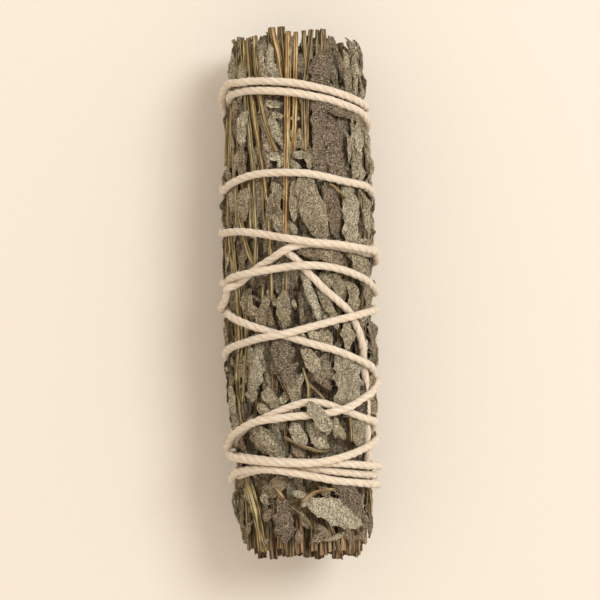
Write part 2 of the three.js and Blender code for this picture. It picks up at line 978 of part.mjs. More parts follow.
// The brown leaves.
brownLeaves.forEach(([name, ...row], i) => {
  const leaf = () => ({ ...seenLeaf(row, bluntWidths, seeded(101 + i)), root: brownRoot });
  let solid = blade(leaf(), 0);
  for (const room of rooms) solid = solid.subtract(room);
  pieces.push({ name, solid: largest(solid), kind: "leaf" });
  rooms.push(blade(leaf(), pieceGap));
});

// The leafy sprigs.
const allRooms = wasm.Manifold.union(rooms);
sprigSeeds.forEach((seed, index) => {
  const draw = seeded(seed);
  const isHere = (row) => {
    const middleAcross = (row[0] + row[2]) / 2;
    const middleDown = (row[1] + row[3]) / 2;
    return sprigAt(seenFromAbove(middleAcross, middleDown, herbLevel)[0]) === index;
  };
  const flatLeaves = ovalLeaves.filter(isHere);
  const parts = flatLeaves.map((row) => blade(seenLeaf(row, ovalWidths, draw), 0));
  parts.push(...rolledLeaves.filter(isHere).map(rolledLeaf));
  if (index === restingSprig) parts.push(...restingBlades(draw));
  for (const leaf of hiddenLeaves(index, draw)) parts.push(blade(leaf, 0));
  for (const [across, down, end, radius] of [...topStubs, ...bottomStubs]) {
    const level = herbLevel + end - radius;
    const [angle, y] = seenFromAbove(across, down, level);
    if (sprigAt(angle) === index) parts.push(stub(angle, level, y, radius, draw));
  }
  parts.push(...stubsBehind(index, draw));
  parts.push(sprigCore(index, draw));
  const whole = wasm.Manifold.union(parts).intersect(sprigSpace(index));
  const standing = whole.subtract(allRooms).intersect(floorSpace).simplify(smallestEdge);
  pieces.push({ name: "leafy_sprig_" + (index + 1), solid: largest(standing), kind: "sprig" });
});
pieces.push({ name: "binding_cord", solid: cordSolid, kind: "cord" });

const materials = {
  sprig: new THREE.MeshStandardMaterial({ color: 0x8d8a72, roughness: 0.95, metalness: 0 }),
  leaf: new THREE.MeshStandardMaterial({ color: 0x6f6351, roughness: 0.95, metalness: 0 }),
  straw: new THREE.MeshStandardMaterial({ color: 0xb59c5e, roughness: 0.7, metalness: 0 }),
  olive: new THREE.MeshStandardMaterial({ color: 0x9a915c, roughness: 0.75, metalness: 0 }),
  brown: new THREE.MeshStandardMaterial({ color: 0x9a7f60, roughness: 0.8, metalness: 0 }),
  cord: new THREE.MeshStandardMaterial({ color: 0xe8dcc4, roughness: 0.9, metalness: 0 }),
};

const group = new THREE.Group();
group.name = "sage_bunch";
for (const { name, solid, kind } of pieces) {
  const mesh = solid.getMesh();
  const geometry = new THREE.BufferGeometry();
  geometry.setAttribute("position", new THREE.BufferAttribute(mesh.vertProperties, 3));
  geometry.setIndex(new THREE.BufferAttribute(mesh.triVerts, 1));
  geometry.computeVertexNormals();
  const piece = new THREE.Mesh(geometry, materials[kind]);
  piece.name = name;
  group.add(piece);
}

export default group;
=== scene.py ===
import math

import bpy
import numpy as np
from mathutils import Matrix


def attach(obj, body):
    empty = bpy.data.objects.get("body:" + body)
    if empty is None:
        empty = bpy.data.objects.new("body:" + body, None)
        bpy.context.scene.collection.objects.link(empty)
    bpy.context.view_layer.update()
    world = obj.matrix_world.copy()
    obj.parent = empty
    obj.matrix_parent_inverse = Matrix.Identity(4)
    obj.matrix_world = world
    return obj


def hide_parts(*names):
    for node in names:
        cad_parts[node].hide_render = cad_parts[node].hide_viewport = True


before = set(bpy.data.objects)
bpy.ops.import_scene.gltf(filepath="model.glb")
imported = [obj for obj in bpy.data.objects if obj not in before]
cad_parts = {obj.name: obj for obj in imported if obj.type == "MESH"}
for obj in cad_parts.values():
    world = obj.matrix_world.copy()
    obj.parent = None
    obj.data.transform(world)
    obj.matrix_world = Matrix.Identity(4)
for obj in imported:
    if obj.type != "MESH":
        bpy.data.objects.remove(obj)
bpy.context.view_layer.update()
pi = math.pi
mm = 0.001  # everything below is worked out in millimetres and made in metres

# The photo's places are in pixels from its top left corner.
picture = {"unit": 0.2, "middle": (299, 293), "eyeHeight": 465, "eyeDistance": 450,
           "pixels": 600, "sensor": 36, "clip": (0.01, 10), "rounds": 8, "furthest": 0.995}

# The bundle's oval section, measured to the middle of the cord.
bundle = {"axisZ": 14.9, "halfWidth": 15.25, "halfHeight": 14.0, "taper": 0.00085,
          "taperMiddle": 2, "leanOffset": 0.1, "leanPerLength": -0.022, "herbLevel": -0.95}


def makeCamera():
    lens = bpy.data.cameras.new("topCamera")
    lens.sensor_width = picture["sensor"]
    across = picture["pixels"] * picture["unit"]
    lens.lens = picture["sensor"] * picture["eyeDistance"] / across
    lens.clip_start, lens.clip_end = picture["clip"]
    eye = bpy.data.objects.new("topCamera", lens)
    x = (picture["pixels"] / 2 - picture["middle"][0]) * picture["unit"]
    y = (picture["middle"][1] - picture["pixels"] / 2) * picture["unit"]
    eye.location = (x * mm, y * mm, picture["eyeHeight"] * mm)
    bpy.context.scene.collection.objects.link(eye)
    bpy.context.scene.camera = eye
    bpy.context.scene.view_settings.view_transform = "Standard"


makeCamera()
print("camera made")


# Places on the bundle: an angle round it, a length y along it, and a level out from
# the middle of the cord.

def centreX(y):
    return bundle["leanOffset"] + bundle["leanPerLength"] * y


def halfWidth(y):
    return bundle["halfWidth"] - bundle["taper"] * (y - bundle["taperMiddle"]) ** 2


def halfHeight(y):
    return halfWidth(y) * bundle["halfHeight"] / bundle["halfWidth"]


def onOval(angle, y, level):
    x = centreX(y) + (halfWidth(y) + level) * np.cos(angle)
    z = bundle["axisZ"] + (halfHeight(y) + level) * np.sin(angle)
    return np.stack(np.broadcast_arrays(x, y, z), axis=-1)


def seenFromAbove(across, down, level):  # the place that a pixel of the photo shows
    z = bundle["axisZ"] + bundle["halfHeight"]
    angle, y = pi / 2, 0.0
    for _ in range(picture["rounds"]):
        scale = picture["unit"] * (picture["eyeHeight"] - z) / picture["eyeDistance"]
        y = (picture["middle"][1] - down) * scale
        x = (across - picture["middle"][0]) * scale
        share = (x - centreX(y)) / (halfWidth(y) + level)
        angle = math.acos(min(picture["furthest"], max(-picture["furthest"], share)))
        z = bundle["axisZ"] + (halfHeight(y) + level) * math.sin(angle)
    return angle, y


# The binding cord: its passes over the top, each from the right edge to the left edge,
# the same points as in the part's own source. A third number is that point's own layer.
cord = {"radius": 0.75, "clearance": 1.68, "step": 0.8, "topShare": 0.65, "routeSteps": 12,
        "fineStep": 0.39, "plies": 3, "plyPitch": 6.2, "plyDepth": 0.13, "sides": 18,
        "swell": 1.03, "deepen": 1.15, "fade": (0.9, 1.1), "apart": 3, "lastAims": (375, 478),
        "underShares": (0.2, 0.4, 0.6, 0.8), "lastShares": (0.15, 0.3, 0.42)}
bottomTurnLow = [(374.7, 484.5), (340.3, 481.5), (321.2, 478), (302, 474.2), (282.9, 470.4),
    (263.8, 469), (251, 470), (238.3, 473), (230, 479.5)]
bottomTurnUnder = [(374.7, 475.5), (340.3, 472.5), (321, 470), (295, 468), (270, 468.5),
    (250, 471.5), (232, 476)]
bottomTurnMiddle = [(374.7, 466.5), (346.7, 464), (327.6, 463), (315, 462.5), (290, 462),
    (265, 460), (245, 457.5), (231, 455)]
lowerCrossUnder = [(376, 431.6), (374.6, 424.9), (363, 418), (348.8, 411.6), (334, 406.5),
    (327.6, 404.2), (308.4, 402.2), (289.3, 407.3), (270, 415), (250, 424), (236, 434),
    (230, 444)]
middleCrossUnder = [(377.3, 376.7), (368.4, 366.5), (353, 357.6), (333.9, 349.9), (314.8, 344.8),
    (295.7, 339.1), (276.5, 334), (257.4, 328.3), (238.3, 320.6), (225.5, 313, 2)]
upperMiddle = [(377.3, 291), (365.8, 280.1), (346.7, 271.2), (327.6, 266.7), (308.4, 265.4),
    (289.3, 266.7), (263.8, 271.2), (244.6, 275), (229.3, 280.1), (225, 284)]
upperWide = [(376.5, 260), (372, 252), (353, 247.6), (333.9, 244.4), (314.8, 243.1),
    (295.7, 239.9), (276.5, 236.7), (257.4, 233.5), (238.3, 231.6), (219.8, 232.9)]
upperSingle = [(372.2, 193.4), (365.8, 186.4), (346.7, 181.9), (327.6, 177.4), (308.4, 173.6),
    (289.3, 172.7), (270.2, 173), (251, 175.5), (231.9, 183.2), (219.8, 190.8)]
topTurnLower = [(365.8, 119.4), (362, 113.6), (346.7, 105.8), (327.6, 99.4), (308.4, 95.4),
    (289.3, 92.2), (263.8, 90.7), (244.6, 91), (231.9, 94), (224.9, 99.5)]
topTurnUpper = [(366, 107), (362, 103.8), (346.7, 96.3), (327.6, 89.9), (308.4, 85.6),
    (289.3, 82.4), (257.4, 81.2), (240, 83, 3), (227.4, 87.5, 3)]
crossingTurn = [(375, 252), (353, 249), (333.9, 246), (314.8, 244), (300.8, 244.8),
    (289.3, 248.2), (270.2, 259.7), (254.8, 268.6), (242, 278.8), (236.5, 284), (229.3, 291.6, 4),
    (222, 308, 4)]
middleOver = [(377, 309.4), (359.4, 314.2), (340.3, 319.3), (321.2, 324.4), (302, 329.5),
    (282.9, 334.6), (263.8, 337.8), (244.6, 342.9), (229.3, 348.7), (224, 353.8)]
lowerOver = [(376, 383), (369.6, 392), (356.9, 402.2), (342.9, 408.6), (327.6, 413.1),
    (308.4, 415.6), (295.7, 416.3), (276.5, 418.8), (257.4, 422), (244.6, 429), (234.4, 437.7),
    (230.3, 447)]
lastOver = [(375, 437.5), (365.8, 447.5), (346.7, 454.4), (327.6, 459.5), (308.4, 462.7),
    (282.9, 462.2), (263.8, 460.8), (244.6, 458.3), (232, 454.5)]

# The loose end starts under the wide turn and runs down the right side.
looseEnd = [(284, 250), (290, 255), (299.5, 262.2), (308.8, 273.8), (314.8, 279), (323.2, 288.2),
    (340.3, 302.8), (353, 314), (358.2, 328.3), (363.3, 347.4), (366, 360), (368, 385),
    (370, 420), (371, 450), (371, 470), (371, 482)]

# Each turn in winding order: its pass over the top with its layer, then the layer underneath.
turns = [
    (bottomTurnLow, 4, 2), (bottomTurnUnder, 1, 1), (bottomTurnMiddle, 2, 2),
    (lowerCrossUnder, 2, 2), (middleCrossUnder, 3, 2), (upperMiddle, 2, 2),
    (upperWide, 3, 2), (upperSingle, 2, 2), (topTurnLower, 2, 2), (topTurnUpper, 2, 3),
    (crossingTurn, 1, 3), (middleOver, 5, 3), (lowerOver, 4, 3), (lastOver, 4, 3),
]


def cordRoute():
    route = []  # angle, length and layer, the angle growing with each turn
    for across, down in looseEnd:
        route.append((*seenFromAbove(across, down, 0), 0))
    for turn, (cordPass, topLayer, underLayer) in enumerate(turns):
        for across, down, *own in cordPass:
            angle, y = seenFromAbove(across, down, 0)
            route.append((angle + turn * 2 * pi, y, own[0] if own else topLayer))
        last = turn == len(turns) - 1
        across, down = cord["lastAims"] if last else turns[turn + 1][0][0][:2]
        nextAngle, nextY = seenFromAbove(across, down, 0)
        arrives = nextAngle + (turn + 1) * 2 * pi
        leaves = route[-1]
        for share in cord["lastShares" if last else "underShares"]:
            route.append((leaves[0] + (arrives - leaves[0]) * share,
                          leaves[1] + (nextY - leaves[1]) * share, underLayer))
    return route


def catmullRom(a, b, c, d, t):
    along = 2 * b + (c - a) * t
    bend = (2 * a - 5 * b + 4 * c - d) * t * t
    return 0.5 * (along + bend + (3 * b - a - 3 * c + d) * t * t * t)


def cordStations():
    route = cordRoute()
    last = len(route) - 1
    fine = []
    for i in range(last):
        four = [route[min(last, max(0, i + k))] for k in (-1, 0, 1, 2)]
        for step in range(cord["routeSteps"]):
            t = step / cord["routeSteps"]
            angle = catmullRom(*(p[0] for p in four), t)
            y = catmullRom(*(p[1] for p in four), t)
            fine.append((angle, y, four[1][2] if t < 0.5 else four[2][2]))
    stations, before, travelled = [fine[0]], fine[0], 0
    for point in fine[1:]:
        across = (point[0] - before[0]) * halfWidth(point[1])
        travelled += math.hypot(across, point[1] - before[1])
        before = point
        if travelled >= cord["step"]:
            travelled = 0
            stations.append(point)
    return np.array(stations)


def standOver(distance):
    share = distance / (2 * cord["clearance"])
    return np.where(share < 1, cord["clearance"] * (1 - share * share) ** 2, 0)


def fadeOut(distance):
    start, over = cord["fade"]
    share = (distance / cord["clearance"] - start) / over
    return 0.5 + 0.5 * np.cos(pi * np.clip(share, 0, 1))


def liftCord(stations):  # the upper turn stands over the lower one where two cross
    angle, y, layer = stations.T
    count = len(stations)
    turned = (angle[:, None] - angle[None, :] + pi) % (2 * pi) - pi
    distance = np.hypot(turned * bundle["halfWidth"], y[:, None] - y[None, :])
    far = np.abs(np.arange(count)[:, None] - np.arange(count)) * cord["step"]
    near = (layer[:, None] != layer[None, :]) & (distance < 2 * cord["clearance"])
    near &= far >= cord["apart"] * cord["clearance"]
    lift = np.zeros(count)
    for level in sorted(set(layer)):
        for i in np.flatnonzero(layer == level):
            j = np.flatnonzero(near[i])
            share = cord["topShare"] * (0.5 + 0.5 * math.sin(angle[i]))
            above, below = j[layer[j] >= level], j[layer[j] <= level]
            lift[i] = -max((1 - share) * standOver(distance[i, above]), default=0)
            held = lift[below] * fadeOut(distance[i, below]) + standOver(distance[i, below])
            lift[i] = max([lift[i], *held])
    mean = (lift[:-2] + lift[1:-1] + lift[2:]) / 3
    inner = lift[1:-1]
    lift[1:-1] = np.where(inner > 0, np.maximum(mean, inner), np.minimum(mean, inner))
    return lift


stations = cordStations()
stationLift = liftCord(stations)
cordLine = onOval(stations[:, 0], stations[:, 1], stationLift)
cordLength = np.linalg.norm(np.diff(cordLine, axis=0), axis=1).sum()
print("cord routed:", len(stations), "stations,", round(float(cordLength)), "mm")


# Shader maths on sockets: an expression adds its own Math nodes.
class Value:
    def __init__(self, paint, socket):
        self.paint, self.socket = paint, socket

    def math(self, operation, *values):
        made = self.paint.node("Math", {"operation": operation}, dict(enumerate(values)))
        return Value(self.paint, made.outputs[0])

    def __add__(self, other): return self.math("ADD", self, other)
    def __radd__(self, other): return self.math("ADD", other, self)
    def __sub__(self, other): return self.math("SUBTRACT", self, other)
    def __rsub__(self, other): return self.math("SUBTRACT", other, self)
    def __mul__(self, other): return self.math("MULTIPLY", self, other)
    def __rmul__(self, other): return self.math("MULTIPLY", other, self)
    def __pow__(self, other): return self.math("POWER", self, other)
    def __rpow__(self, other): return self.math("POWER", other, self)
    def __abs__(self): return self.math("ABSOLUTE", self)

    def sine(self): return self.math("SINE", self)

    def between(self, low, high, start=0.0, end=1.0):
        made = self.paint.node("MapRange", {"interpolation_type": "SMOOTHSTEP"},
                               {0: self, 1: low, 2: high, 3: start, 4: end})
        return Value(self.paint, made.outputs[0])


class Paint:
    def __init__(self, name):
        self.material = bpy.data.materials.new(name)
        self.material.use_nodes = True
        self.nodes = self.material.node_tree.nodes
        self.links = self.material.node_tree.links
        self.shader = self.nodes["Principled BSDF"]

    def node(self, kind, settings=None, sockets=None):
        made = self.nodes.new("ShaderNode" + kind)
        for name, value in (settings or {}).items():
            if name == "stops":
                for index, (place, colour) in enumerate(value):
                    ramp = made.color_ramp.elements
                    stop = ramp[index] if index < 2 else ramp.new(place)
                    stop.position, stop.color = place, (*colour, 1)
            else:
                setattr(made, name, value)
        for key, value in (sockets or {}).items():
            self.join(value, made.inputs[key])
        return made

    def join(self, value, socket):
        if isinstance(value, Value):
            value = value.socket
        elif isinstance(value, str):
            value = flatColour(value)
        if isinstance(value, bpy.types.NodeSocket):
            self.links.new(value, socket)
        elif isinstance(value, tuple) and socket.type == "RGBA":
            socket.default_value = (*value, 1)
        else:
            socket.default_value = value

    def places(self):  # the piece's own place in millimetres
        found = self.node("TexCoord").outputs["Object"]
        return self.stretch(found, (1000, 1000, 1000))

    def stretch(self, vector, by):
        return self.node("VectorMath", {"operation": "MULTIPLY"}, {0: vector, 1: by}).outputs[0]

    def vector(self, *values):
        return self.node("CombineXYZ", {}, dict(enumerate(values))).outputs[0]

    def noise(self, vector, scale, detail=2.0, roughness=0.5, distortion=0.0):
        made = self.node("TexNoise", {}, {"Vector": vector, "Scale": scale, "Detail": detail,
                                          "Roughness": roughness, "Distortion": distortion})
        return Value(self, made.outputs[0])

    def cells(self, vector, scale):
        made = self.node("TexVoronoi", {"feature": "F1"}, {"Vector": vector, "Scale": scale})
        return Value(self, made.outputs["Distance"])

    def attribute(self, name):
        found = self.node("Attribute", {"attribute_name": name})
        parts = self.node("SeparateColor", {}, {0: found.outputs["Color"]})
        return [Value(self, socket) for socket in parts.outputs[:3]]

    def mix(self, share, first, second, blend="MIX"):
        made = self.node("Mix", {"data_type": "RGBA", "blend_type": blend, "clamp_factor": True},
                         {0: share, 6: first, 7: second})
        return made.outputs[2]

    def ramp(self, share, places, *colours):
        stops = [(place, flatColour(colour)) for place, colour in zip(places, colours)]
        return self.node("ValToRGB", {"stops": stops}, {0: share}).outputs[0]

    def shaded(self, tint, shade):
        grey = self.node("CombineColor", {}, {0: shade, 1: shade, 2: shade}).outputs[0]
        return self.mix(1.0, tint, grey, "MULTIPLY")

    def bump(self, height, depth):
        made = self.node("Bump", {}, {"Height": height, "Distance": depth * mm, "Strength": 1.0})
        return made.outputs[0]

    def finish(self, **sockets):
        for name, value in sockets.items():
            self.join(value, self.shader.inputs[name.replace("_", " ")])
        return self.material


def flatColour(hexColour):  # a screen colour as the shader's own linear values
    parts = [int(hexColour[i:i + 2], 16) / 255 for i in (0, 2, 4)]
    return tuple(p / 12.92 if p <= 0.04045 else ((p + 0.055) / 1.055) ** 2.4 for p in parts)


# In the settings of a material, a noise is its scale, detail, roughness and distortion.
cottonLook = {
    "fibrePlace": (9, 0.35), "fibres": (1.6, 4, 0.65, 0.4), "fibreRange": (0.25, 0.75),
    "fluff": (3.4, 3, 0.7), "slub": (0.45, 2), "slubRange": (0.45, 0.75), "slubShare": 0.35,
    "grooveShadeShare": 0.4, "groovePower": 0.6, "heights": (0.6, 0.5), "depth": 0.16,
    "places": (0.0, 0.45, 1.0), "fibreTints": ("cbb595", "e6d8c0", "f8f0e2"),
    "slubTint": "e0c9ae", "grooveShadeTint": "b8966c"}


def cottonMaterial():
    paint, look = Paint("twistedCotton"), cottonLook
    turned, along, _ = paint.attribute("cordPlace")  # share round a ply, and millimetres
    here = paint.places()
    across, length = look["fibrePlace"]
    fibres = paint.noise(paint.vector(turned * across, along * length, 0.0), *look["fibres"])
    fluff, slub = paint.noise(here, *look["fluff"]), paint.noise(here, *look["slub"])
    # The tint darkens towards the grooves between the plies: painted shade.
    groove = (1 - abs(turned - 0.5) * 2) ** look["groovePower"]
    tint = paint.ramp(fibres.between(*look["fibreRange"]), look["places"], *look["fibreTints"])
    tint = paint.mix(slub.between(*look["slubRange"]) * look["slubShare"], tint, look["slubTint"])
    tint = paint.mix(look["grooveShadeShare"] - groove * look["grooveShadeShare"], tint, look["grooveShadeTint"])
    height = fibres * look["heights"][0] + fluff * look["heights"][1]
    return paint.finish(Base_Color=tint, Roughness=0.92, Normal=paint.bump(height, look["depth"]),
                        Sheen_Weight=0.35, Sheen_Roughness=0.5)


leafLook = {
    "wobble": (0.9, 3.0), "warp": 0.6, "pebbles": 2.5, "pits": (3.3, 3, 0.65),
    "curls": (2.6, 2, 0.6, 1.4), "curlWidth": 0.035, "wisps": (4.0, 1, 0.5, 2.0),
    "wispWidth": 0.04, "patches": (0.33, 3), "dome": 1.4, "foldStretch": (1.15, 0.34, 1.15),
    "folds": (1.0, 2, 0.55), "creaseWidth": 0.07, "grainRange": (0.4, 0.56),
    "dust": (5.0, 1, 0.5), "dustRange": (0.44, 0.6), "pricks": (4.2, 1, 0.5),
    "prickRange": (0.55, 0.62), "prickShare": 0.9, "yellowShare": 0.5,
    "speckle": {"dome": 0.25, "grain": 0.85, "dust": 0.3, "patches": 0.85, "less": 0.43,
                "tone": 0.5, "full": 0.9, "crease": 0.45, "flat": 0.55},
    "hairShare": (0.32, 0.1), "depth": 0.5,
    "height": {"dome": 0.4, "pits": 1.1, "hairs": 0.4, "crease": 0.8, "folds": 2.2},
    "places": (0.0, 0.35, 0.65, 1.0), "dark": ("7c7050", "5f5034", "33261a", "170f0a"),
    "pale": ("f8f0d4", "ebddb8", "c3a782", "b4967a"),
    "hairTint": "eadab6", "prickTint": "e2cfb2", "yellowTint": "a8964f"}


def leafMaterial():
    paint, look = Paint("feltedLeaf"), leafLook
    tone, shade, yellow = paint.attribute("look")
    here = paint.places()
    scale, detail = look["wobble"]
    wobble = paint.node("TexNoise", {}, {"Vector": here, "Scale": scale, "Detail": detail})
    warped = paint.node("VectorMath", {"operation": "MULTIPLY_ADD"},
                        {0: wobble.outputs["Color"], 1: (look["warp"],) * 3, 2: here}).outputs[0]
    pits, patches = paint.noise(warped, *look["pits"]), paint.noise(here, *look["patches"])
    curls, wisps = paint.noise(warped, *look["curls"]), paint.noise(warped, *look["wisps"])
    hairs = 1 - (abs(curls - 0.5).between(0.0, look["curlWidth"])
                 * abs(wisps - 0.5).between(0.0, look["wispWidth"]))
    dark = paint.ramp(tone, look["places"], *look["dark"])
    pale = paint.ramp(tone, look["places"], *look["pale"])
    dome = 1 - paint.cells(warped, look["pebbles"]) * look["dome"]
    folds = paint.noise(paint.stretch(warped, look["foldStretch"]), *look["folds"])
    crease = abs(folds - 0.5).between(0.0, look["creaseWidth"])
    grain = pits.between(*look["grainRange"])
    dust = paint.noise(warped, *look["dust"]).between(*look["dustRange"])
    part = look["speckle"]
    # The speckle is partly the leaf's own grain, dust and patches and partly painted shade: darker
    # in the pits, between the pebbles and along the creases, where the bump lies lower.
    speckle = (dome * part["dome"] + grain * part["grain"] + dust * part["dust"]
               + patches * part["patches"] - part["less"] - tone * part["tone"])
    speckle = speckle.between(0.0, part["full"]) * (crease * part["crease"] + part["flat"])
    tint = paint.mix(speckle, dark, pale)
    least, more = look["hairShare"]
    tint = paint.mix(hairs * (least + tone * more), tint, look["hairTint"])
    pricks = paint.noise(warped, *look["pricks"]).between(*look["prickRange"])
    tint = paint.mix(pricks * tone * look["prickShare"], tint, look["prickTint"])
    tint = paint.mix(yellow * look["yellowShare"], tint, look["yellowTint"])
    part = look["height"]
    height = (dome * part["dome"] + pits * part["pits"] + hairs * part["hairs"]
              + crease * part["crease"] + folds * part["folds"])
    # The colour is multiplied by each point's shade: painted shade, darker where a leaf lies
    # deeper, with a lightness that differs at random from leaf to leaf.
    return paint.finish(Base_Color=paint.shaded(tint, shade), Roughness=0.95,
                        Normal=paint.bump(height, look["depth"]), Sheen_Weight=0.05,
                        Sheen_Roughness=0.6, Specular_IOR_Level=0.1)


stemLook = {
    "grainPlace": (9, 0.16, 30), "streaks": (1.0, 3, 0.6), "fine": (3.1, 3, 0.6),
    "blotch": (0.5, 3, 0.6), "specks": 1.6, "speckRange": (0.05, 0.22), "speckShare": 0.5,
    "ribs": 5, "sway": 3, "ridgeAt": 2.2, "grooveRange": (0.55, 0.95), "ridgeRange": (0.5, 0.95),
    "grooveShadeShare": 0.85, "ridgeHighlightShare": 0.55, "darkRange": (0.4, 0.52),
    "paleRange": (0.54, 0.66), "paleShare": 0.85, "blotchRange": (0.5, 0.75),
    "blotchShare": 0.45, "cutRange": (0.3, 0.7), "heights": (0.9, 0.35, 0.6), "depth": 0.2,
    "places": (0.0, 0.35, 0.65, 1.0), "body": ("c09b5a", "ae9a64", "8f8459", "93714e"),
    "dark": ("74491c", "5a4522", "453f24", "33231a"),
    "pale": ("f0daa8", "e2d4a6", "c6bd92", "d2b48a"), "blotchTint": "7d5630",
    "cutTint": "6b4426"}


def stemMaterial():
    paint, look = Paint("driedStem"), stemLook
    tone, shade, cut = paint.attribute("look")
    place = paint.node("UVMap").outputs[0]  # share round the stem, and millimetres along it
    parts = paint.node("SeparateXYZ", {}, {0: place}).outputs
    turned, along = Value(paint, parts[0]), Value(paint, parts[1])
    here = paint.places()
    across, length, apart = look["grainPlace"]
    grainPlace = paint.vector(turned * across, along * length, tone * apart)
    streaks = paint.noise(grainPlace, *look["streaks"])
    fine = paint.noise(grainPlace, *look["fine"])
    blotch = paint.noise(here, *look["blotch"])
    specks = paint.cells(here, look["specks"]).between(*look["speckRange"])
    # Pale stripes on the ridges and dark stripes in the grooves, which the bump lowers: painted
    # highlight and painted shade.
    wave = turned * (2 * look["ribs"] * pi) + streaks * look["sway"]
    groove = wave.sine().between(*look["grooveRange"])
    ridge = (wave + look["ridgeAt"]).sine().between(*look["ridgeRange"])
    body, dark, pale = (paint.ramp(tone, look["places"], *look[name])
                        for name in ("body", "dark", "pale"))
    tint = paint.mix(streaks.between(*look["darkRange"]), dark, body)
    tint = paint.mix(streaks.between(*look["paleRange"]) * look["paleShare"], tint, pale)
    tint = paint.mix((1 - specks) * look["speckShare"], tint, dark)
    tint = paint.mix(ridge * look["ridgeHighlightShare"], tint, pale)
    tint = paint.mix(groove * look["grooveShadeShare"], tint, dark)
    tint = paint.mix(blotch.between(*look["blotchRange"]) * look["blotchShare"], tint,
                     look["blotchTint"])
    tint = paint.mix(cut * fine.between(*look["cutRange"]), tint, look["cutTint"])
    high, higher, low = look["heights"]
    height = streaks * high + fine * higher - groove * low
    # The colour is multiplied by each point's shade: painted shade, darker where a stem lies
    # deeper, scaled by its own shade setting.
    return paint.finish(Base_Color=paint.shaded(tint, shade), Roughness=0.75,
                        Normal=paint.bump(height, look["depth"]), Specular_IOR_Level=0.3)


coreLook = {"crumbs": 1.1, "speckle": (2.2, 4, 0.7), "shares": (0.5, 0.7), "range": (0.35, 1.0),
            "places": (0.0, 0.4, 1.0), "tints": ("a08e6e", "7a6748", "34271a"), "depth": 0.4}


def coreMaterial():
    paint, look = Paint("packedCrumbs"), coreLook
    here = paint.places()
    crumbs, speckle = paint.cells(here, look["crumbs"]), paint.noise(here, *look["speckle"])
    # The tint is darker in the crevices between the crumbs, which the bump lowers, as painted
    # shade, and it also varies with the crumbs' own speckle.
    share = (crumbs * look["shares"][0] + speckle * look["shares"][1]).between(*look["range"])
    tint = paint.ramp(share, look["places"], *look["tints"])
    return paint.finish(Base_Color=tint, Roughness=0.97,
                        Normal=paint.bump(speckle - crumbs, look["depth"]))


floorLook = {"grain": (0.8, 3), "tints": ("e1dacd", "e3ddd1"), "depth": 0.03}


def floorMaterial():
    paint, look = Paint("creamPaper"), floorLook
    grain = paint.noise(paint.places(), *look["grain"])
    return paint.finish(Base_Color=paint.mix(grain, *look["tints"]), Roughness=0.9,
                        Normal=paint.bump(grain, look["depth"]))


hairLook = {"change": (0.9, 3, 0.6), "range": (0.3, 0.7)}


def hairMaterial(name, dark, pale):
    paint = Paint(name)
    change = paint.noise(paint.places(), *hairLook["change"])
    tint = paint.ramp(change.between(*hairLook["range"]), (0.0, 1.0), dark, pale)
    return paint.finish(Base_Color=tint, Roughness=0.85, Sheen_Weight=0.3, Sheen_Roughness=0.5)


cotton, felted, dried, packed, paper = (make() for make in (
    cottonMaterial, leafMaterial, stemMaterial, coreMaterial, floorMaterial))
downy = hairMaterial("downyHair", "8a7a5c", "d9cdb0")
fluffy = hairMaterial("cottonFluff", "e2d0b2", "fbf3e4")
print("materials made")


# Geometry Nodes trees, built with the same kind of short calls.
class Tree:
    def __init__(self, name, **inputs):
        self.group = bpy.data.node_groups.new(name, "GeometryNodeTree")
        face = self.group.interface
        face.new_socket("Geometry", in_out="INPUT", socket_type="NodeSocketGeometry")
        self.keys = {}
        for label, kind in inputs.items():
            made = face.new_socket(label, in_out="INPUT", socket_type="NodeSocket" + kind)
            self.keys[label] = made.identifier
        face.new_socket("Geometry", in_out="OUTPUT", socket_type="NodeSocketGeometry")
        self.given = self.group.nodes.new("NodeGroupInput").outputs
        self.result = self.group.nodes.new("NodeGroupOutput").inputs[0]

    def node(self, kind, settings=None, sockets=None):
        made = self.group.nodes.new(kind)
        for name, value in (settings or {}).items():
            setattr(made, name, value)
        for key, value in (sockets or {}).items():
            if isinstance(value, bpy.types.NodeSocket):
                self.group.links.new(value, made.inputs[key])
            else:
                made.inputs[key].default_value = value
        return made.outputs

    def maths(self, operation, *values):
        return self.node("ShaderNodeMath", {"operation": operation}, dict(enumerate(values)))[0]

    def vectors(self, operation, *values):
        found = self.node("ShaderNodeVectorMath", {"operation": operation},
                          dict(enumerate(values)))
        return found[0]

    def end(self, geometry):
        real = self.node("GeometryNodeRealizeInstances", {}, {0: geometry})[0]
        made = self.node("GeometryNodeSetMaterial", {}, {0: real, 2: self.given["Material"]})
        self.group.links.new(made[0], self.result)

    def run(self, source, name, **values):  # a plain mesh of what the tree makes of source
        holder = bpy.data.objects.new(name + "Source", source)
        bpy.context.scene.collection.objects.link(holder)
        modifier = holder.modifiers.new("tree", "NODES")
        modifier.node_group = self.group
        for label, value in values.items():
            modifier[self.keys[label]] = value
        holder.update_tag()
        made = holder.evaluated_get(bpy.context.evaluated_depsgraph_get())
        mesh = bpy.data.meshes.new_from_object(made)
        bpy.data.objects.remove(holder)
        mesh.name = name
        piece = bpy.data.objects.new(name, mesh)
        bpy.context.scene.collection.objects.link(piece)
        return piece


def curveThrough(name, points):
    curve = bpy.data.curves.new(name, "CURVE")
    curve.dimensions = "3D"
    spline = curve.splines.new("POLY")
    spline.points.add(len(points) - 1)
    flat = np.ones((len(points), 4))
    flat[:, :3] = points * mm
    spline.points.foreach_set("co", flat.ravel())
    return curve


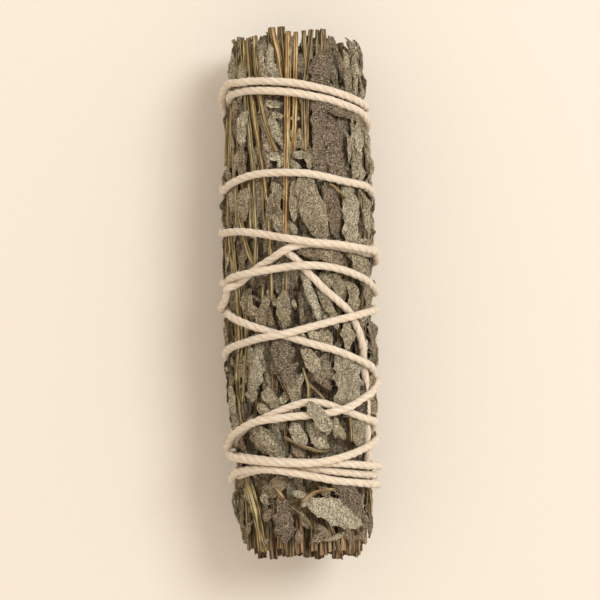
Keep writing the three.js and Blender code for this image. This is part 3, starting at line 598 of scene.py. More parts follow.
def cordTree():
    tree = Tree("twistedCord", Step="Float", Radius="Float", Plies="Int", Pitch="Float",
                Depth="Float", Sides="Int", Material="Material")
    given = tree.given
    path = tree.node("GeometryNodeResampleCurve", {"mode": "LENGTH"},
                     {0: given["Geometry"], 3: given["Step"]})[0]
    along = tree.node("GeometryNodeSplineParameter")[1]
    turn = tree.maths("MULTIPLY", tree.maths("DIVIDE", along, given["Pitch"]), 2 * pi)
    path = tree.node("GeometryNodeSetCurveTilt", {}, {0: path, 2: turn})[0]
    kept = tree.node("GeometryNodeStoreNamedAttribute", {"data_type": "FLOAT", "domain": "POINT"},
                     {0: path, 2: "cordAlong", 3: along})[0]
    ring = tree.node("GeometryNodeCurvePrimitiveCircle", {"mode": "RADIUS"},
                     {0: given["Sides"], 4: given["Radius"]})[0]
    share = tree.node("GeometryNodeSplineParameter")[0]
    lobes = tree.maths("MULTIPLY", share, given["Plies"])
    phase = tree.maths("FRACT", lobes)
    off = tree.maths("ABSOLUTE", tree.maths("SUBTRACT", phase, 0.5))
    dent = tree.maths("POWER", tree.maths("MULTIPLY", off, 2.0), 3.0)
    size = tree.maths("SUBTRACT", 1.0, tree.maths("MULTIPLY", dent, given["Depth"]))
    here = tree.node("GeometryNodeInputPosition")[0]
    wide = tree.node("ShaderNodeVectorMath", {"operation": "SCALE"}, {0: here, 3: size})[0]
    ring = tree.node("GeometryNodeSetPosition", {}, {0: ring, 2: wide})[0]
    ring = tree.node("GeometryNodeStoreNamedAttribute", {"data_type": "FLOAT", "domain": "POINT"},
                     {0: ring, 2: "cordRound", 3: phase})[0]
    tube = tree.node("GeometryNodeCurveToMesh", {}, {0: kept, 1: ring, "Fill Caps": True})[0]
    tree.end(tree.node("GeometryNodeSetShadeSmooth", {}, {0: tube, 2: True})[0])
    return tree


def makeCord():
    # The line is smoothed a little, so that no bend shows the spacing of its stations.
    line = cordLine.copy()
    line[1:-1] = (line[:-2] + 2 * line[1:-1] + line[2:]) / 4
    piece = cordTree().run(curveThrough("cordPath", line), "twistedBindingCord",
                           Step=cord["fineStep"] * mm, Radius=cord["radius"] * cord["swell"] * mm,
                           Plies=cord["plies"], Pitch=cord["plyPitch"] * mm,
                           Depth=cord["plyDepth"] * cord["deepen"], Sides=cord["sides"],
                           Material=cotton)
    mesh = piece.data
    place = np.zeros((len(mesh.vertices), 4))
    for column, name in enumerate(("cordRound", "cordAlong")):
        found = np.zeros(len(mesh.vertices), np.float32)
        mesh.attributes[name].data.foreach_get("value", found)
        place[:, column] = found if name == "cordRound" else found / mm
    mesh.attributes.new("cordPlace", "FLOAT_COLOR", "POINT").data.foreach_set(
        "color", place.astype(np.float32).ravel())
    for name in ("cordRound", "cordAlong"):
        mesh.attributes.remove(mesh.attributes[name])
    mesh.materials.clear()
    mesh.materials.append(cotton)
    return piece


bindingCord = makeCord()
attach(bindingCord, "root")
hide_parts("binding_cord")
print("cord made:", len(bindingCord.data.polygons), "faces")


# Rules that the herbs share.
herbs = {"step": 0.27, "thickness": 0.34, "pressReach": 3.0, "pressSlope": 1.6,
         "cordContact": 0.78, "openLevel": 9.0, "floorGap": 0.02, "sharpFrom": 0.85,
         "stemReach": 0.5, "stemSink": 0.5, "stemSlope": 0.9, "stationShare": 0.12}
slats = np.concatenate([stations[:, :2], (stations[1:, :2] + stations[:-1, :2]) / 2])
slatLift = np.concatenate([stationLift, (stationLift[1:] + stationLift[:-1]) / 2])


def seeded(seed):  # draws that come out the same each time, as in the part's own source
    state = [seed]

    def draw():
        state[0] = state[0] * 16807 % 2147483647
        return state[0] / 2147483647
    return draw


def lattice(ix, iy, seed):  # a fixed chance value from -1 to 1 for two whole numbers
    mixed = (ix * 374761393 + iy * 668265263 + seed * 1442695041) & 0xffffffff
    mixed = ((mixed ^ (mixed >> 13)) * 1274126177) & 0xffffffff
    return ((mixed ^ (mixed >> 16)) & 0xffff) / 32767.5 - 1


def rough(x, y, seed):  # smooth noise from -1 to 1, one bump for each whole number
    x, y = np.broadcast_arrays(np.asarray(x, float), np.asarray(y, float))
    ix, iy = np.floor(x).astype(np.int64), np.floor(y).astype(np.int64)
    fx, fy = x - ix, y - iy
    fx, fy = fx * fx * (3 - 2 * fx), fy * fy * (3 - 2 * fy)
    low = lattice(ix, iy, seed) * (1 - fx) + lattice(ix + 1, iy, seed) * fx
    high = lattice(ix, iy + 1, seed) * (1 - fx) + lattice(ix + 1, iy + 1, seed) * fx
    return low * (1 - fy) + high * fy


def awayFrom(lines, angle, y):  # how far each place is from each point of some lines
    sideways = (angle.reshape(-1, 1) - lines[None, :, 0] + pi) % (2 * pi) - pi
    return np.hypot(sideways * bundle["halfWidth"], y.reshape(-1, 1) - lines[None, :, 1])


def pressed(angle, y):  # how high a herb may stand beside and under the cord
    angle, y = np.broadcast_arrays(angle, y)
    reach, contact, found = herbs["pressReach"], herbs["cordContact"], herbs["openLevel"]
    near = (slats[:, 1] > y.min() - reach) & (slats[:, 1] < y.max() + reach)
    if near.any():
        distance = awayFrom(slats[near], angle, y)
        under = np.sqrt(np.maximum(0, contact ** 2 - distance ** 2))
        beside = np.maximum(0, distance - contact)
        level = slatLift[None, near] - bundle["herbLevel"] - under + herbs["pressSlope"] * beside
        found = np.where(distance < reach, level, found).min(axis=1).reshape(angle.shape)
    return np.broadcast_to(found, angle.shape)


def underStems(angle, y):  # how high a leaf may stand that lies under the listed stems
    angle, y = np.broadcast_arrays(angle, y)
    beside = np.maximum(0, awayFrom(stemStations, angle, y) - herbs["stemReach"])
    level = stemStations[None, :, 2] - herbs["stemSink"] + herbs["stemSlope"] * beside
    return level.min(axis=1).reshape(angle.shape)


class Gathering:  # the points and faces of one piece
    def __init__(self):
        self.points, self.quads, self.looks, self.places = [], [], [], []
        self.count = 0

    def add(self, points, quads, look, places):
        self.points.append(points)
        self.quads.append(quads + self.count)
        self.looks.append(np.broadcast_to(look, (len(points), 3)))
        self.places.append(places)
        self.count += len(points)

    def make(self, name, material, slot, *nodes):
        points = np.concatenate(self.points)
        points[:, 2] = np.maximum(points[:, 2], herbs["floorGap"])
        quads = np.concatenate(self.quads)
        mesh = bpy.data.meshes.new(name)
        mesh.vertices.add(len(points))
        mesh.vertices.foreach_set("co", (points * mm).ravel())
        mesh.loops.add(quads.size)
        mesh.loops.foreach_set("vertex_index", quads.ravel())
        mesh.polygons.add(len(quads))
        mesh.polygons.foreach_set("loop_start", np.arange(0, quads.size, 4))
        mesh.polygons.foreach_set("use_smooth", np.ones(len(quads), bool))
        mesh.update(calc_edges=True)
        mesh.validate()
        mesh.set_sharp_from_angle(angle=herbs["sharpFrom"])
        looks = np.ones((len(points), 4), np.float32)
        looks[:, :3] = np.concatenate(self.looks)
        mesh.attributes.new("look", "FLOAT_COLOR", "POINT").data.foreach_set(
            "color", looks.ravel())
        places = np.concatenate(self.places).astype(np.float32)
        mesh.uv_layers.new(name="UVMap").data.foreach_set("uv", places.ravel())
        mesh.materials.append(material)
        piece = bpy.data.objects.new(name, mesh)
        bpy.context.scene.collection.objects.link(piece)
        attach(piece, "root")
        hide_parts(*nodes)
        return piece


def grid(rows, cols, offset=0, flip=False):
    r, c = np.meshgrid(np.arange(rows - 1), np.arange(cols - 1), indexing="ij")
    a = (r * cols + c).ravel() + offset
    quads = np.stack([a, a + 1, a + cols + 1, a + cols], axis=1)
    return quads[:, ::-1] if flip else quads


def shellQuads(rows, cols):  # an upper and a lower grid with the rim between them
    count = rows * cols
    top = np.arange(count).reshape(rows, cols)
    rim = np.concatenate([top[0, :-1], top[:-1, -1], top[-1, :0:-1], top[:0:-1, 0]])
    after = np.roll(rim, -1)
    wall = np.stack([after, rim, rim + count, after + count], axis=1)
    return np.concatenate([grid(rows, cols), grid(rows, cols, count, True), wall])


# The width along a leaf: share of its length, share of its width.
leafShapes = {
    "oval": [(0, 0.16), (0.08, 0.4), (0.28, 0.88), (0.5, 1), (0.75, 0.84), (0.92, 0.46),
             (1, 0.05)],
    "blunt": [(0, 0.3), (0.1, 0.75), (0.35, 1), (0.75, 0.96), (0.93, 0.68), (1, 0.2)],
    "slim": [(0, 0.35), (0.12, 0.72), (0.5, 1), (0.85, 0.8), (1, 0.12)],
    "long": [(0, 0.3), (0.15, 0.8), (0.35, 0.95), (0.65, 1), (0.85, 0.85), (1, 0.15)],
}


def widthAlong(shape, t):
    places, widths = zip(*leafShapes[shape])
    fine = np.linspace(0, 1, 81)
    values = np.interp(fine, places, widths)
    padded = np.pad(values, 4, mode="edge")
    smooth = np.convolve(padded, np.ones(9) / 9, "valid")
    smooth[0], smooth[-1] = widths[0], widths[-1]
    return np.interp(t, fine, smooth)


leafHabit = {"shape": "oval", "curl": 0.5, "twist": 0.0, "bend": 0.03, "crown": 0.5,
             "sink": 2.0, "ruffle": 0.38, "crinkle": 0.32, "ragged": 0.17, "rib": -0.1,
             "pebble": 0.07, "tipDrop": 0.3, "yellow": 0.0, "shade": 1.0, "step": 0.32,
             "yields": False, "over": False}
# The same for every leaf. The lengths of folds are in millimetres, across and along it.
leafForm = {"rows": (9, 90), "cols": (5, 25), "notch": 1.3, "nick": 0.5, "nickShare": 0.6,
            "curlOver": 4.5, "curlChange": 0.4, "ruffleOver": 1.9, "swell": (2.1, 2.9),
            "crease": (1.3, 3.4), "pucker": (0.8, 1.1), "creaseDepth": 1.3, "puckerHeight": 1.1,
            "ribWidth": 0.2, "pebble": (0.42, 0.42), "sway": 0.3, "swayOver": 5,
            "sinkOver": 0.25, "rimShare": 0.6, "leastThick": 0.6, "shadowDepth": 2.6,
            "shadowPower": 0.9, "darkest": 0.44, "lighter": 0.72, "lightChange": 0.07,
            "light": (1.5, 2), "toneChange": 0.08, "tone": (1.7, 3)}


def addLeaf(gathering, root, tip, width, level, tone, seed, **own):
    habit, form = {**leafHabit, **own}, leafForm
    radius = bundle["halfWidth"]
    across, along = (tip[0] - root[0]) * radius, tip[1] - root[1]
    length = math.hypot(across, along)
    fewest, most = form["rows"]
    rows = int(min(most, max(fewest, length / habit["step"])))
    fewest, most = form["cols"]
    cols = int(min(most, max(fewest, width / habit["step"]))) | 1
    t, s = np.linspace(0, 1, rows)[:, None], np.linspace(-1, 1, cols)[None, :]
    far = t * length

    def rimNoise(over, lane, number):  # its own on each side of the leaf
        return rough(far / over, np.sign(s) * lane, seed + number)

    def folded(name, number):
        return rough(place / form[name][0], far / form[name][1], seed + number)

    notches = rimNoise(form["notch"], 3, 0) + form["nickShare"] * rimNoise(form["nick"], 5, 1)
    outline = 1 + habit["ragged"] * notches
    half = width / 2 * widthAlong(habit["shape"], t) * outline
    change = form["curlChange"] * rough(far / form["curlOver"], 0.5, seed + 2)
    curl = habit["curl"] * (1 + change) + 1e-3
    phi = curl * s
    side, height = half * np.sin(phi) / curl, -half * (1 - np.cos(phi)) / curl
    place = s * half
    ruffle = habit["ruffle"] * np.abs(s) ** 1.5
    height = height + ruffle * rimNoise(form["ruffleOver"], 7, 3)
    creases = form["creaseDepth"] * (1 - abs(folded("crease", 4))) ** 4
    puckers = form["puckerHeight"] * abs(folded("pucker", 5))
    height = height + habit["crinkle"] * (folded("swell", 10) - creases + puckers)
    height = height + habit["rib"] * np.exp(-(place / form["ribWidth"]) ** 2)
    height = height + habit["pebble"] * folded("pebble", 6)
    twist = habit["twist"] * (t - 0.5)
    side, height = (side * np.cos(twist) - height * np.sin(twist),
                    side * np.sin(twist) + height * np.cos(twist))
    tilt = phi + twist
    sway = form["sway"] * rough(far / form["swayOver"], 0.5, seed + 7)
    side = side + habit["bend"] * length * np.sin(pi * t) + sway
    height = height + level + habit["crown"] * np.sin(pi * t)
    sunk = habit["sink"] * np.clip(1 - t / form["sinkOver"], 0, 1) ** 2
    height = height - sunk - habit["tipDrop"] * t ** 5
    rim = form["rimShare"]
    thick = herbs["thickness"] * (rim + (1 - rim) * (1 - np.abs(s) ** 3))

    def spread(side, height):
        angle = root[0] + (across * t - along / length * side) / radius
        return angle, root[1] + along * t + across / length * side, height

    angle, y, top = spread(side, height)
    if not habit["over"]:
        top = np.minimum(top, pressed(angle, y))
    if habit["yields"]:
        top = np.minimum(top, underStems(angle, y))
    lowAngle, lowY, under = spread(side - thick * np.sin(tilt), height - thick * np.cos(tilt))
    under = np.minimum(under, top - form["leastThick"] * thick)
    points = np.concatenate([onOval(angle, y, bundle["herbLevel"] + top).reshape(-1, 3),
                             onOval(lowAngle, lowY, bundle["herbLevel"] + under).reshape(-1, 3)])
    # Leaves that lie deeper, towards the core, get a darker colour: painted shade in the gaps
    # between leaves. A leaf's own shade setting scales it.
    deep = np.clip((top + form["shadowDepth"]) / form["shadowDepth"], 0, 1) ** form["shadowPower"]
    bright = habit["shade"] * (form["darkest"] + form["lighter"] * deep)
    look = np.empty((rows, cols, 3))
    look[..., 0] = np.clip(tone + form["toneChange"] * folded("tone", 9), 0, 1)
    look[..., 1] = bright * (1 + form["lightChange"] * folded("light", 8))
    look[..., 2] = habit["yellow"]
    look = np.concatenate([look.reshape(-1, 3)] * 2)
    quads = shellQuads(rows, cols)
    flat = np.stack(np.broadcast_arrays(s / 2 + 0.5, t), axis=-1).reshape(-1, 2)
    gathering.add(points, quads, look, np.concatenate([flat, flat])[quads.ravel()])


stemHabit = {"ribs": 4, "ribDepth": 0.2, "sides": 16, "step": 0.55, "tone": 0.2,
             "shade": 1.0, "taper": 1.0, "ragged": 0.25, "wander": 0.12, "knots": 1}
# The same for every stem: how its line is smoothed, then its rim, knots, colour and painted shade.
stemForm = {"dense": 200, "smoothed": 60, "smoothOver": 9, "wanderOver": 7,
            "settling": [0.1, 0.22, 0.36, 0.22, 0.1], "ribTurn": 0.02, "bumps": 0.05,
            "bumpOver": 1.3, "knotSize": 0.22, "knotLength": 0.5, "unevenFor": 1.6,
            "hollowDepth": 0.3, "hollowShare": 0.55, "rimShare": 0.82, "toneChange": 0.06,
            "toneOver": 5, "shadowFrom": 3.4, "shadowDepth": 2.4, "darkest": 0.45,
            "cutLength": 1.2}


def stemLine(route, habit, seed):  # the smoothed route, and how far along it each place is
    form = stemForm
    route = np.array(route, float)
    gaps = np.hypot(np.diff(route[:, 0]) * bundle["halfWidth"], np.diff(route[:, 1]))
    places = np.concatenate([[0], np.cumsum(gaps)])
    length = places[-1]
    far = np.linspace(0, length, max(5, int(length / habit["step"])))
    dense = np.linspace(0, length, form["dense"])
    share = min(1, form["smoothOver"] / max(length, 1))
    width = max(3, int(form["smoothed"] * share)) | 1
    curve = []
    for column in route.T:
        values = np.pad(np.interp(dense, places, column), width // 2, mode="reflect",
                        reflect_type="odd")
        curve.append(np.interp(far, dense, np.convolve(values, np.ones(width) / width, "valid")))
    angle, y, level = curve
    wander = habit["wander"] * rough(far / form["wanderOver"], 0.5, seed)
    return far, angle + wander / bundle["halfWidth"], y, level


def addStem(gathering, route, radius, seed, **own):  # a route of angle, y and level
    habit, form = {**stemHabit, **own}, stemForm
    far, angle, y, level = stemLine(route, habit, seed)
    count, length = len(far), far[-1]
    cap = pressed(angle, y) - radius
    level = np.minimum(level, cap)
    for _ in range(2):
        padded = np.pad(level, 2, mode="edge")
        level = np.minimum(cap, np.convolve(padded, form["settling"], "valid"))
    points = onOval(angle, y, bundle["herbLevel"] + level)
    ahead = np.gradient(points, axis=0)
    ahead /= np.linalg.norm(ahead, axis=1, keepdims=True)
    out = points - np.stack([centreX(points[:, 1]), points[:, 1],
                             np.full(count, bundle["axisZ"])], axis=1)
    out -= (out * ahead).sum(axis=1, keepdims=True) * ahead
    out /= np.linalg.norm(out, axis=1, keepdims=True)
    side = np.cross(ahead, out)
    sides = habit["sides"]
    turn = np.arange(sides) / sides * 2 * pi
    ribs = turn[None, :] * habit["ribs"] / 2 + form["ribTurn"] * far[:, None] + seed
    size = 1 - habit["ribDepth"] * (1 - np.abs(np.cos(ribs))) ** 2 * 2
    bumps = rough(far[:, None] / form["bumpOver"], turn[None, :] * 2, seed + 1)
    size = size * (1 + form["bumps"] * bumps)
    for knot in range(habit["knots"]):
        where = length * (0.25 + 0.5 * (0.5 + 0.5 * float(lattice(knot, seed, 5))))
        apart = (far[:, None] - where) / form["knotLength"]
        size = size * (1 + form["knotSize"] * np.exp(-apart ** 2))
    size = size * radius * np.linspace(1, habit["taper"], count)[:, None]
    around = (np.cos(turn)[None, :, None] * out[:, None, :]
              + np.sin(turn)[None, :, None] * side[:, None, :])
    rings = points[:, None, :] + size[..., None] * around
    ragged = habit["ragged"] * radius
    for end, into in ((0, 1), (-1, -1)):  # cut ends with an uneven rim and a hollow in the middle
        uneven = ragged * rough(turn * form["unevenFor"], 0.5 + end, seed + 2)
        rings[end] = rings[end] + uneven[:, None] * ahead[end]
        centre = points[end] + into * form["hollowDepth"] * radius * ahead[end]
        hollow = centre + form["hollowShare"] * (rings[end] - points[end])
        rim = points[end] + form["rimShare"] * (rings[end] - points[end])
        extra = np.stack([hollow, rim])
        joined = [extra, rings] if end == 0 else [rings, extra[::-1]]
        rings = np.concatenate(joined)
    rows = len(rings)
    r, c = np.meshgrid(np.arange(rows - 1), np.arange(sides), indexing="ij")
    after = (c + 1) % sides
    quads = np.stack([r * sides + c, r * sides + after, (r + 1) * sides + after,
                      (r + 1) * sides + c], axis=-1).reshape(-1, 4)
    distance = np.concatenate([[0, 0], far, [length, length]])
    corners = np.stack([np.stack([(c + right) / sides, distance[r + further]], axis=-1)
                        for right, further in ((0, 0), (1, 0), (1, 1), (0, 1))],
                       axis=2).reshape(-1, 2)
    strip = np.arange(sides // 2 - 1)
    lid = np.stack([strip, strip + 1, sides - 2 - strip, sides - 1 - strip], axis=1)
    quads = np.concatenate([quads, lid[:, ::-1], lid + (rows - 1) * sides])
    places = np.concatenate([corners, np.zeros((lid.size * 2, 2))])
    look = np.empty((rows, sides, 3))
    change = form["toneChange"] * rough(distance[:, None] / form["toneOver"], turn / 2, seed)
    look[..., 0] = np.clip(habit["tone"] + change, 0, 1)
    # Stems that lie deeper get a darker colour: painted shade.
    levels = np.pad(level, 2, mode="edge")
    deep = np.clip((levels + form["shadowFrom"]) / form["shadowDepth"], 0, 1)
    bright = form["darkest"] + (1 - form["darkest"]) * deep
    look[..., 1] = (habit["shade"] * bright)[:, None]
    nearEnd = np.minimum(distance, length - distance)
    look[..., 2] = np.clip(1 - nearEnd / form["cutLength"], 0, 1)[:, None]
    gathering.add(rings.reshape(-1, 3), quads, look.reshape(-1, 3), places)


# Leaves seen from above: root and tip in the photo, width, level, then how brown they are.
ovalLeaves = [
    (240, 97, 244, 67, 2.8, 0.2, 0.2), (279, 95, 267, 43, 3.4, 0.3, 0.1),
    (349, 100, 345, 52, 2.6, -0.4, 0.3), (362, 108, 360, 60, 2.4, 0.2, 0.3),
    (244, 108, 240, 146, 3.2, 0.4, 0.15), (240, 138, 245, 178, 3.2, 0.2, 0.5),
    (268, 108, 281, 147, 2.2, 0.3, 0.15), (290, 154, 308, 156, 1.7, 0.4, 0.1),
    (316, 93, 320, 180, 4.2, 0.8, 0.86), (365, 125, 324, 105, 3.2, 0.6, 0.6),
    (354, 188, 353, 118, 2.2, 1.2, 0.25), (361, 190, 358, 117, 2.6, 1.3, 0.2),
    (372, 184, 366, 128, 2.6, 1.4, 0.3), (246, 184, 244, 222, 3.6, -0.2, 0.35),
    (279, 180, 274, 232, 3.0, -0.3, 0.5), (295, 176, 293, 222, 2.6, 0.2, 0.35),
    (303, 170, 325, 242, 5.2, 1.0, 0.4), (326, 178, 338, 238, 3.8, 0.0, 0.8),
    (350, 184, 354, 250, 4.6, 1.3, 0.1), (362, 186, 371, 240, 3.0, 1.2, 0.3),
    (312, 244, 342, 268, 3.4, 0.5, 0.4), (350, 250, 372, 276, 4.2, 0.9, 0.35),
    (302, 268, 321, 324, 3.0, 0.9, 0.08), (316, 284, 334, 320, 2.2, 0.4, 0.3),
    (332, 272, 345, 304, 3.4, 0.3, 0.35), (348, 280, 356, 316, 3.2, 0.9, 0.35),
    (364, 282, 368, 312, 3.0, 1.1, 0.5), (248, 286, 252, 322, 3.2, -0.2, 0.4),
    (269, 290, 262, 334, 3.0, -0.4, 0.45), (284, 285, 283, 332, 3.0, 0.3, 0.35),
    (345, 320, 350, 352, 3.4, 0.8, 0.3), (326, 326, 322, 352, 3.2, 0.2, 0.35),
    (371, 318, 374, 362, 3.0, 1.3, 0.5), (258, 340, 249, 402, 4.4, 0.6, 0.15),
    (262, 386, 281, 414, 2.8, 0.2, 0.3), (290, 374, 298, 406, 2.6, 0.1, 0.4),
    (300, 346, 322, 378, 2.8, 0.2, 0.25), (325, 358, 330, 384, 2.6, -0.2, 0.35),
    (344, 350, 349, 412, 6.0, 1.3, 0.15), (370, 372, 371, 420, 3.6, 1.4, 0.4),
    (333, 437, 309, 401, 3.6, 3.0, 0.08), (291, 421, 307, 445, 3.2, 0.7, 0.1),
    (306, 421, 330, 450, 3.0, 0.8, 0.2), (358, 416, 361, 448, 3.8, 0.9, 0.25),
    (247, 426, 278, 456, 4.6, 0.6, 0.35), (240, 436, 246, 458, 2.8, 0.6, 0.6),
    (288, 491, 316, 501, 2.0, 0.3, 0.1), (303, 500, 364, 524, 5.4, 1.2, 0.0),
    (290, 478, 262, 500, 3.4, -0.5, 0.5), (231, 374, 233, 420, 3.2, 0.9, 0.35),
    (226, 318, 227, 350, 2.6, 0.9, 0.5), (244, 490, 238, 540, 3.0, 0.0, 0.5),
    (234, 97, 230, 42, 3.2, -0.9, 0.5), (236, 484, 232, 536, 2.6, 0.6, 0.35),
    (232, 486, 229, 520, 2.4, 0.9, 0.6),
]
rolledLeaves = [
    (231, 96, 232, 48, 2.4, 0.2, 0.25), (345, 78, 335.5, 43, 1.8, 0.3, 0.7),
    (358, 100, 356, 49, 1.5, 1.0, 0.25), (299, 292, 303, 328, 1.6, 0.2, 0.9),
    (372, 508, 373, 538, 1.9, 0.9, 0.75), (366, 512, 365, 544, 1.5, 0.9, 0.8),
    (322, 541, 347, 531, 1.3, 0.6, 0.2),
]
brownLeaves = [
    ("brown_leaf_top", 330, 112, 322, 52, 5.6, 1.2, 0.92),
    ("brown_leaf_upper", 339, 182, 333, 119, 4.6, 1.3, 1.0),
    ("brown_leaf_middle", 278, 336, 294, 385, 5.6, 1.4, 0.92),
    ("brown_leaf_low", 284, 500, 283, 543, 4.6, 0.9, 0.88),
    ("brown_leaf_ragged", 338, 482, 366, 517, 4.8, 1.9, 0.95),
]
# Small leaves and scraps between the larger ones, listed the same way.
smallLeaves = [
    (265, 92, 261, 47, 2.4, -0.2, 0.3), (283, 84, 273, 64, 2.0, -0.3, 0.2),
    (310, 545, 325, 530, 1.6, 0.5, 0.9), (352, 541, 366, 526, 1.8, 0.8, 0.85),
    (268, 540, 258, 551, 1.5, 0.2, 0.8), (297, 545, 301, 528, 1.5, 0.4, 0.85),
    (240, 545, 248, 529, 1.6, 0.2, 0.6), (334, 551, 343, 534, 1.5, 0.4, 0.7),
    (240, 73, 240, 57, 1.2, -0.4, 0.95), (316, 60, 306, 40, 2.2, -0.2, 0.15),
    (256, 114, 263, 106, 1.2, 0.0, 0.05), (260, 105, 268, 113, 1.1, 0.1, 0.1),
    (276, 150, 272, 160, 1.1, 0.1, 0.0), (276, 150, 279, 161, 1.2, 0.1, 0.1),
    (262, 128, 269, 145, 1.4, -0.6, 0.85), (344, 71, 346, 50, 1.6, -0.4, 0.3),
    (236, 106, 229, 130, 1.4, 0.1, 0.85), (263, 104, 283, 103, 1.7, -0.5, 0.35),
    (270, 115, 283, 116, 1.4, -0.4, 0.3), (278, 143, 290, 150, 1.6, -0.4, 0.95),
    (262, 143, 271, 151, 1.6, -0.6, 0.5), (269, 151, 278, 160, 1.6, -0.2, 0.05),
    (285, 151, 277, 168, 1.9, -0.6, 0.35), (263, 152, 270, 169, 1.8, -0.5, 0.3),
    (290, 119, 300, 119, 1.4, -0.7, 0.1), (291, 129, 298, 139, 1.8, -0.6, 0.2),
    (290, 142, 304, 147, 1.9, -0.6, 0.25), (289, 159, 302, 172, 1.9, -0.1, 0.1),
    (347, 130, 350, 166, 1.6, 0.9, 0.35), (223, 167, 215, 176, 1.1, 0.7, 0.0),
    (257, 185, 263, 204, 1.2, -0.6, 0.9), (243, 188, 249, 204, 2.3, -0.5, 0.3),
    (243, 206, 252, 215, 2.1, -0.5, 0.35), (245, 217, 254, 229, 2.0, -0.4, 0.2),
    (257, 216, 267, 221, 1.4, -0.4, 0.5), (271, 182, 281, 198, 2.3, -0.4, 0.4),
    (272, 212, 281, 226, 2.1, -0.4, 0.3), (355, 241, 372, 246, 1.7, 0.8, 0.3),
    (290, 221, 297, 234, 1.7, -0.2, 0.05), (294, 248, 319, 261, 2.5, 0.1, 0.7),
    (320, 275, 331, 288, 2.3, 0.5, 0.35), (244, 290, 250, 304, 1.7, -0.5, 0.35),
    (246, 301, 257, 317, 2.1, -0.2, 0.6), (265, 290, 276, 308, 2.0, -0.2, 0.4),
    (268, 308, 276, 329, 1.7, 0.0, 0.7), (258, 312, 267, 323, 1.7, -0.4, 0.4),
    (291, 300, 295, 310, 1.1, -0.3, 0.3), (227, 354, 226, 385, 1.7, 0.5, 0.4),
    (289, 389, 279, 405, 1.9, 0.0, 0.3), (317, 378, 332, 391, 2.1, 0.3, 0.85),
    (369, 376, 374, 386, 1.5, 1.2, 0.7), (363, 391, 376, 417, 2.8, 1.0, 0.4),
    (309, 437, 328, 449, 2.1, 0.7, 0.1), (336, 416, 336, 439, 1.7, 0.8, 0.2),
    (350, 434, 365, 447, 2.3, 0.8, 0.3), (292, 448, 306, 457, 1.6, 0.1, 0.7),
    (276, 508, 263, 522, 2.0, -0.6, 0.75), (262, 492, 268, 505, 1.8, -0.5, 0.4),
    (301, 512, 309, 530, 1.9, -0.4, 0.6), (318, 524, 330, 541, 2.2, -0.2, 0.55),
    (345, 525, 352, 545, 2.0, 0.1, 0.6), (252, 520, 247, 542, 1.8, -0.3, 0.8),
    (300, 128, 310, 172, 2.8, -0.5, 0.3), (292, 236, 299, 250, 2.4, -0.3, 0.35),
    (330, 306, 338, 330, 2.2, 0.0, 0.4), (296, 330, 306, 346, 2.2, -0.2, 0.3),
    (308, 330, 318, 344, 1.9, 0.1, 0.2), (305, 372, 297, 390, 1.5, 0.0, 0.25),
    (313, 372, 322, 384, 1.6, 0.4, 0.8), (256, 404, 270, 418, 2.3, -0.2, 0.3),
    (282, 408, 296, 420, 2.2, -0.2, 0.35), (334, 424, 345, 440, 2.2, 0.5, 0.25),
    (246, 340, 252, 352, 1.9, -0.4, 0.4), (240, 356, 246, 372, 1.7, -0.4, 0.25),
    (320, 486, 330, 500, 2.0, 0.1, 0.7),
]
yellowLeaves = [(281, 289, 288, 301, 1.6, 0.2, 0.3), (278, 305, 289, 328, 2.3, 0.2, 0.3)]

# Bare stems seen from above: radius and tone, then across, down and level.
bareStems = {
    "straw_stem_middle": (0.55, 0.02, (288.5, 31.5, -1.2), (287, 80, -0.9), (287, 150, -0.9),
                          (285.6, 205, -0.9), (285, 238, -1.2)),
    "straw_stem_right": (0.5, 0.12, (295.7, 32, -1.5), (295.3, 90, -0.9), (293.5, 152, -1.3)),
    "straw_stem_inner": (0.5, 0.3, (248.5, 38.5, -1.0), (250.5, 79, -0.9), (255, 120, -0.8),
                         (262, 162, -0.8), (267.4, 204, -0.7), (270.5, 256, -1.0)),
    "straw_stem_slanting": (0.65, 0.4, (254.8, 36.5, -0.9), (258, 80, -0.9), (265, 122, -0.6),
                            (276, 152, -0.9)),
    "olive_stem_left": (0.5, 0.55, (241.5, 40, -0.9), (244.5, 75, -0.9), (249, 126, -0.6),
                        (254, 172, -0.9), (256, 228, -0.8), (255.3, 266, -1.0)),
    "straw_stem_edge": (0.5, 0.35, (233.5, 97, -0.9), (227.4, 144, -0.4), (223, 205, -0.4),
                        (223.4, 275, -0.7)),
    "straw_stem_bent": (0.5, 0.3, (236.5, 90, -0.9), (231.7, 126, -0.4), (235, 174, -0.9),
                        (242, 227, -0.6), (249, 256, -0.7), (254, 265, -1.0)),
    "olive_stem_long": (0.6, 0.5, (228, 195, -0.4), (231, 238, -0.6), (238, 292, -0.3),
                        (241, 345, -0.4), (237.5, 372, -0.1), (239, 395, -0.3), (244, 424, -0.9)),
    "straw_stem_thick": (0.9, 0.45, (246.5, 470, -1.5), (251, 490, -0.6), (256, 508, 0.0),
                         (260, 528, 0.1), (263, 551, -0.2)),
    "olive_stem_low": (0.65, 0.55, (239, 468, -1.2), (240, 500, 0.0), (237.5, 527, 0.0)),
    "straw_stem_short": (0.45, 0.25, (279, 476, -1.0), (279, 514, -0.7)),
    "brown_stem_upper": (0.55, 0.8, (311, 30, -1.2), (303, 95, -1.0), (304, 152, -0.8)),
}
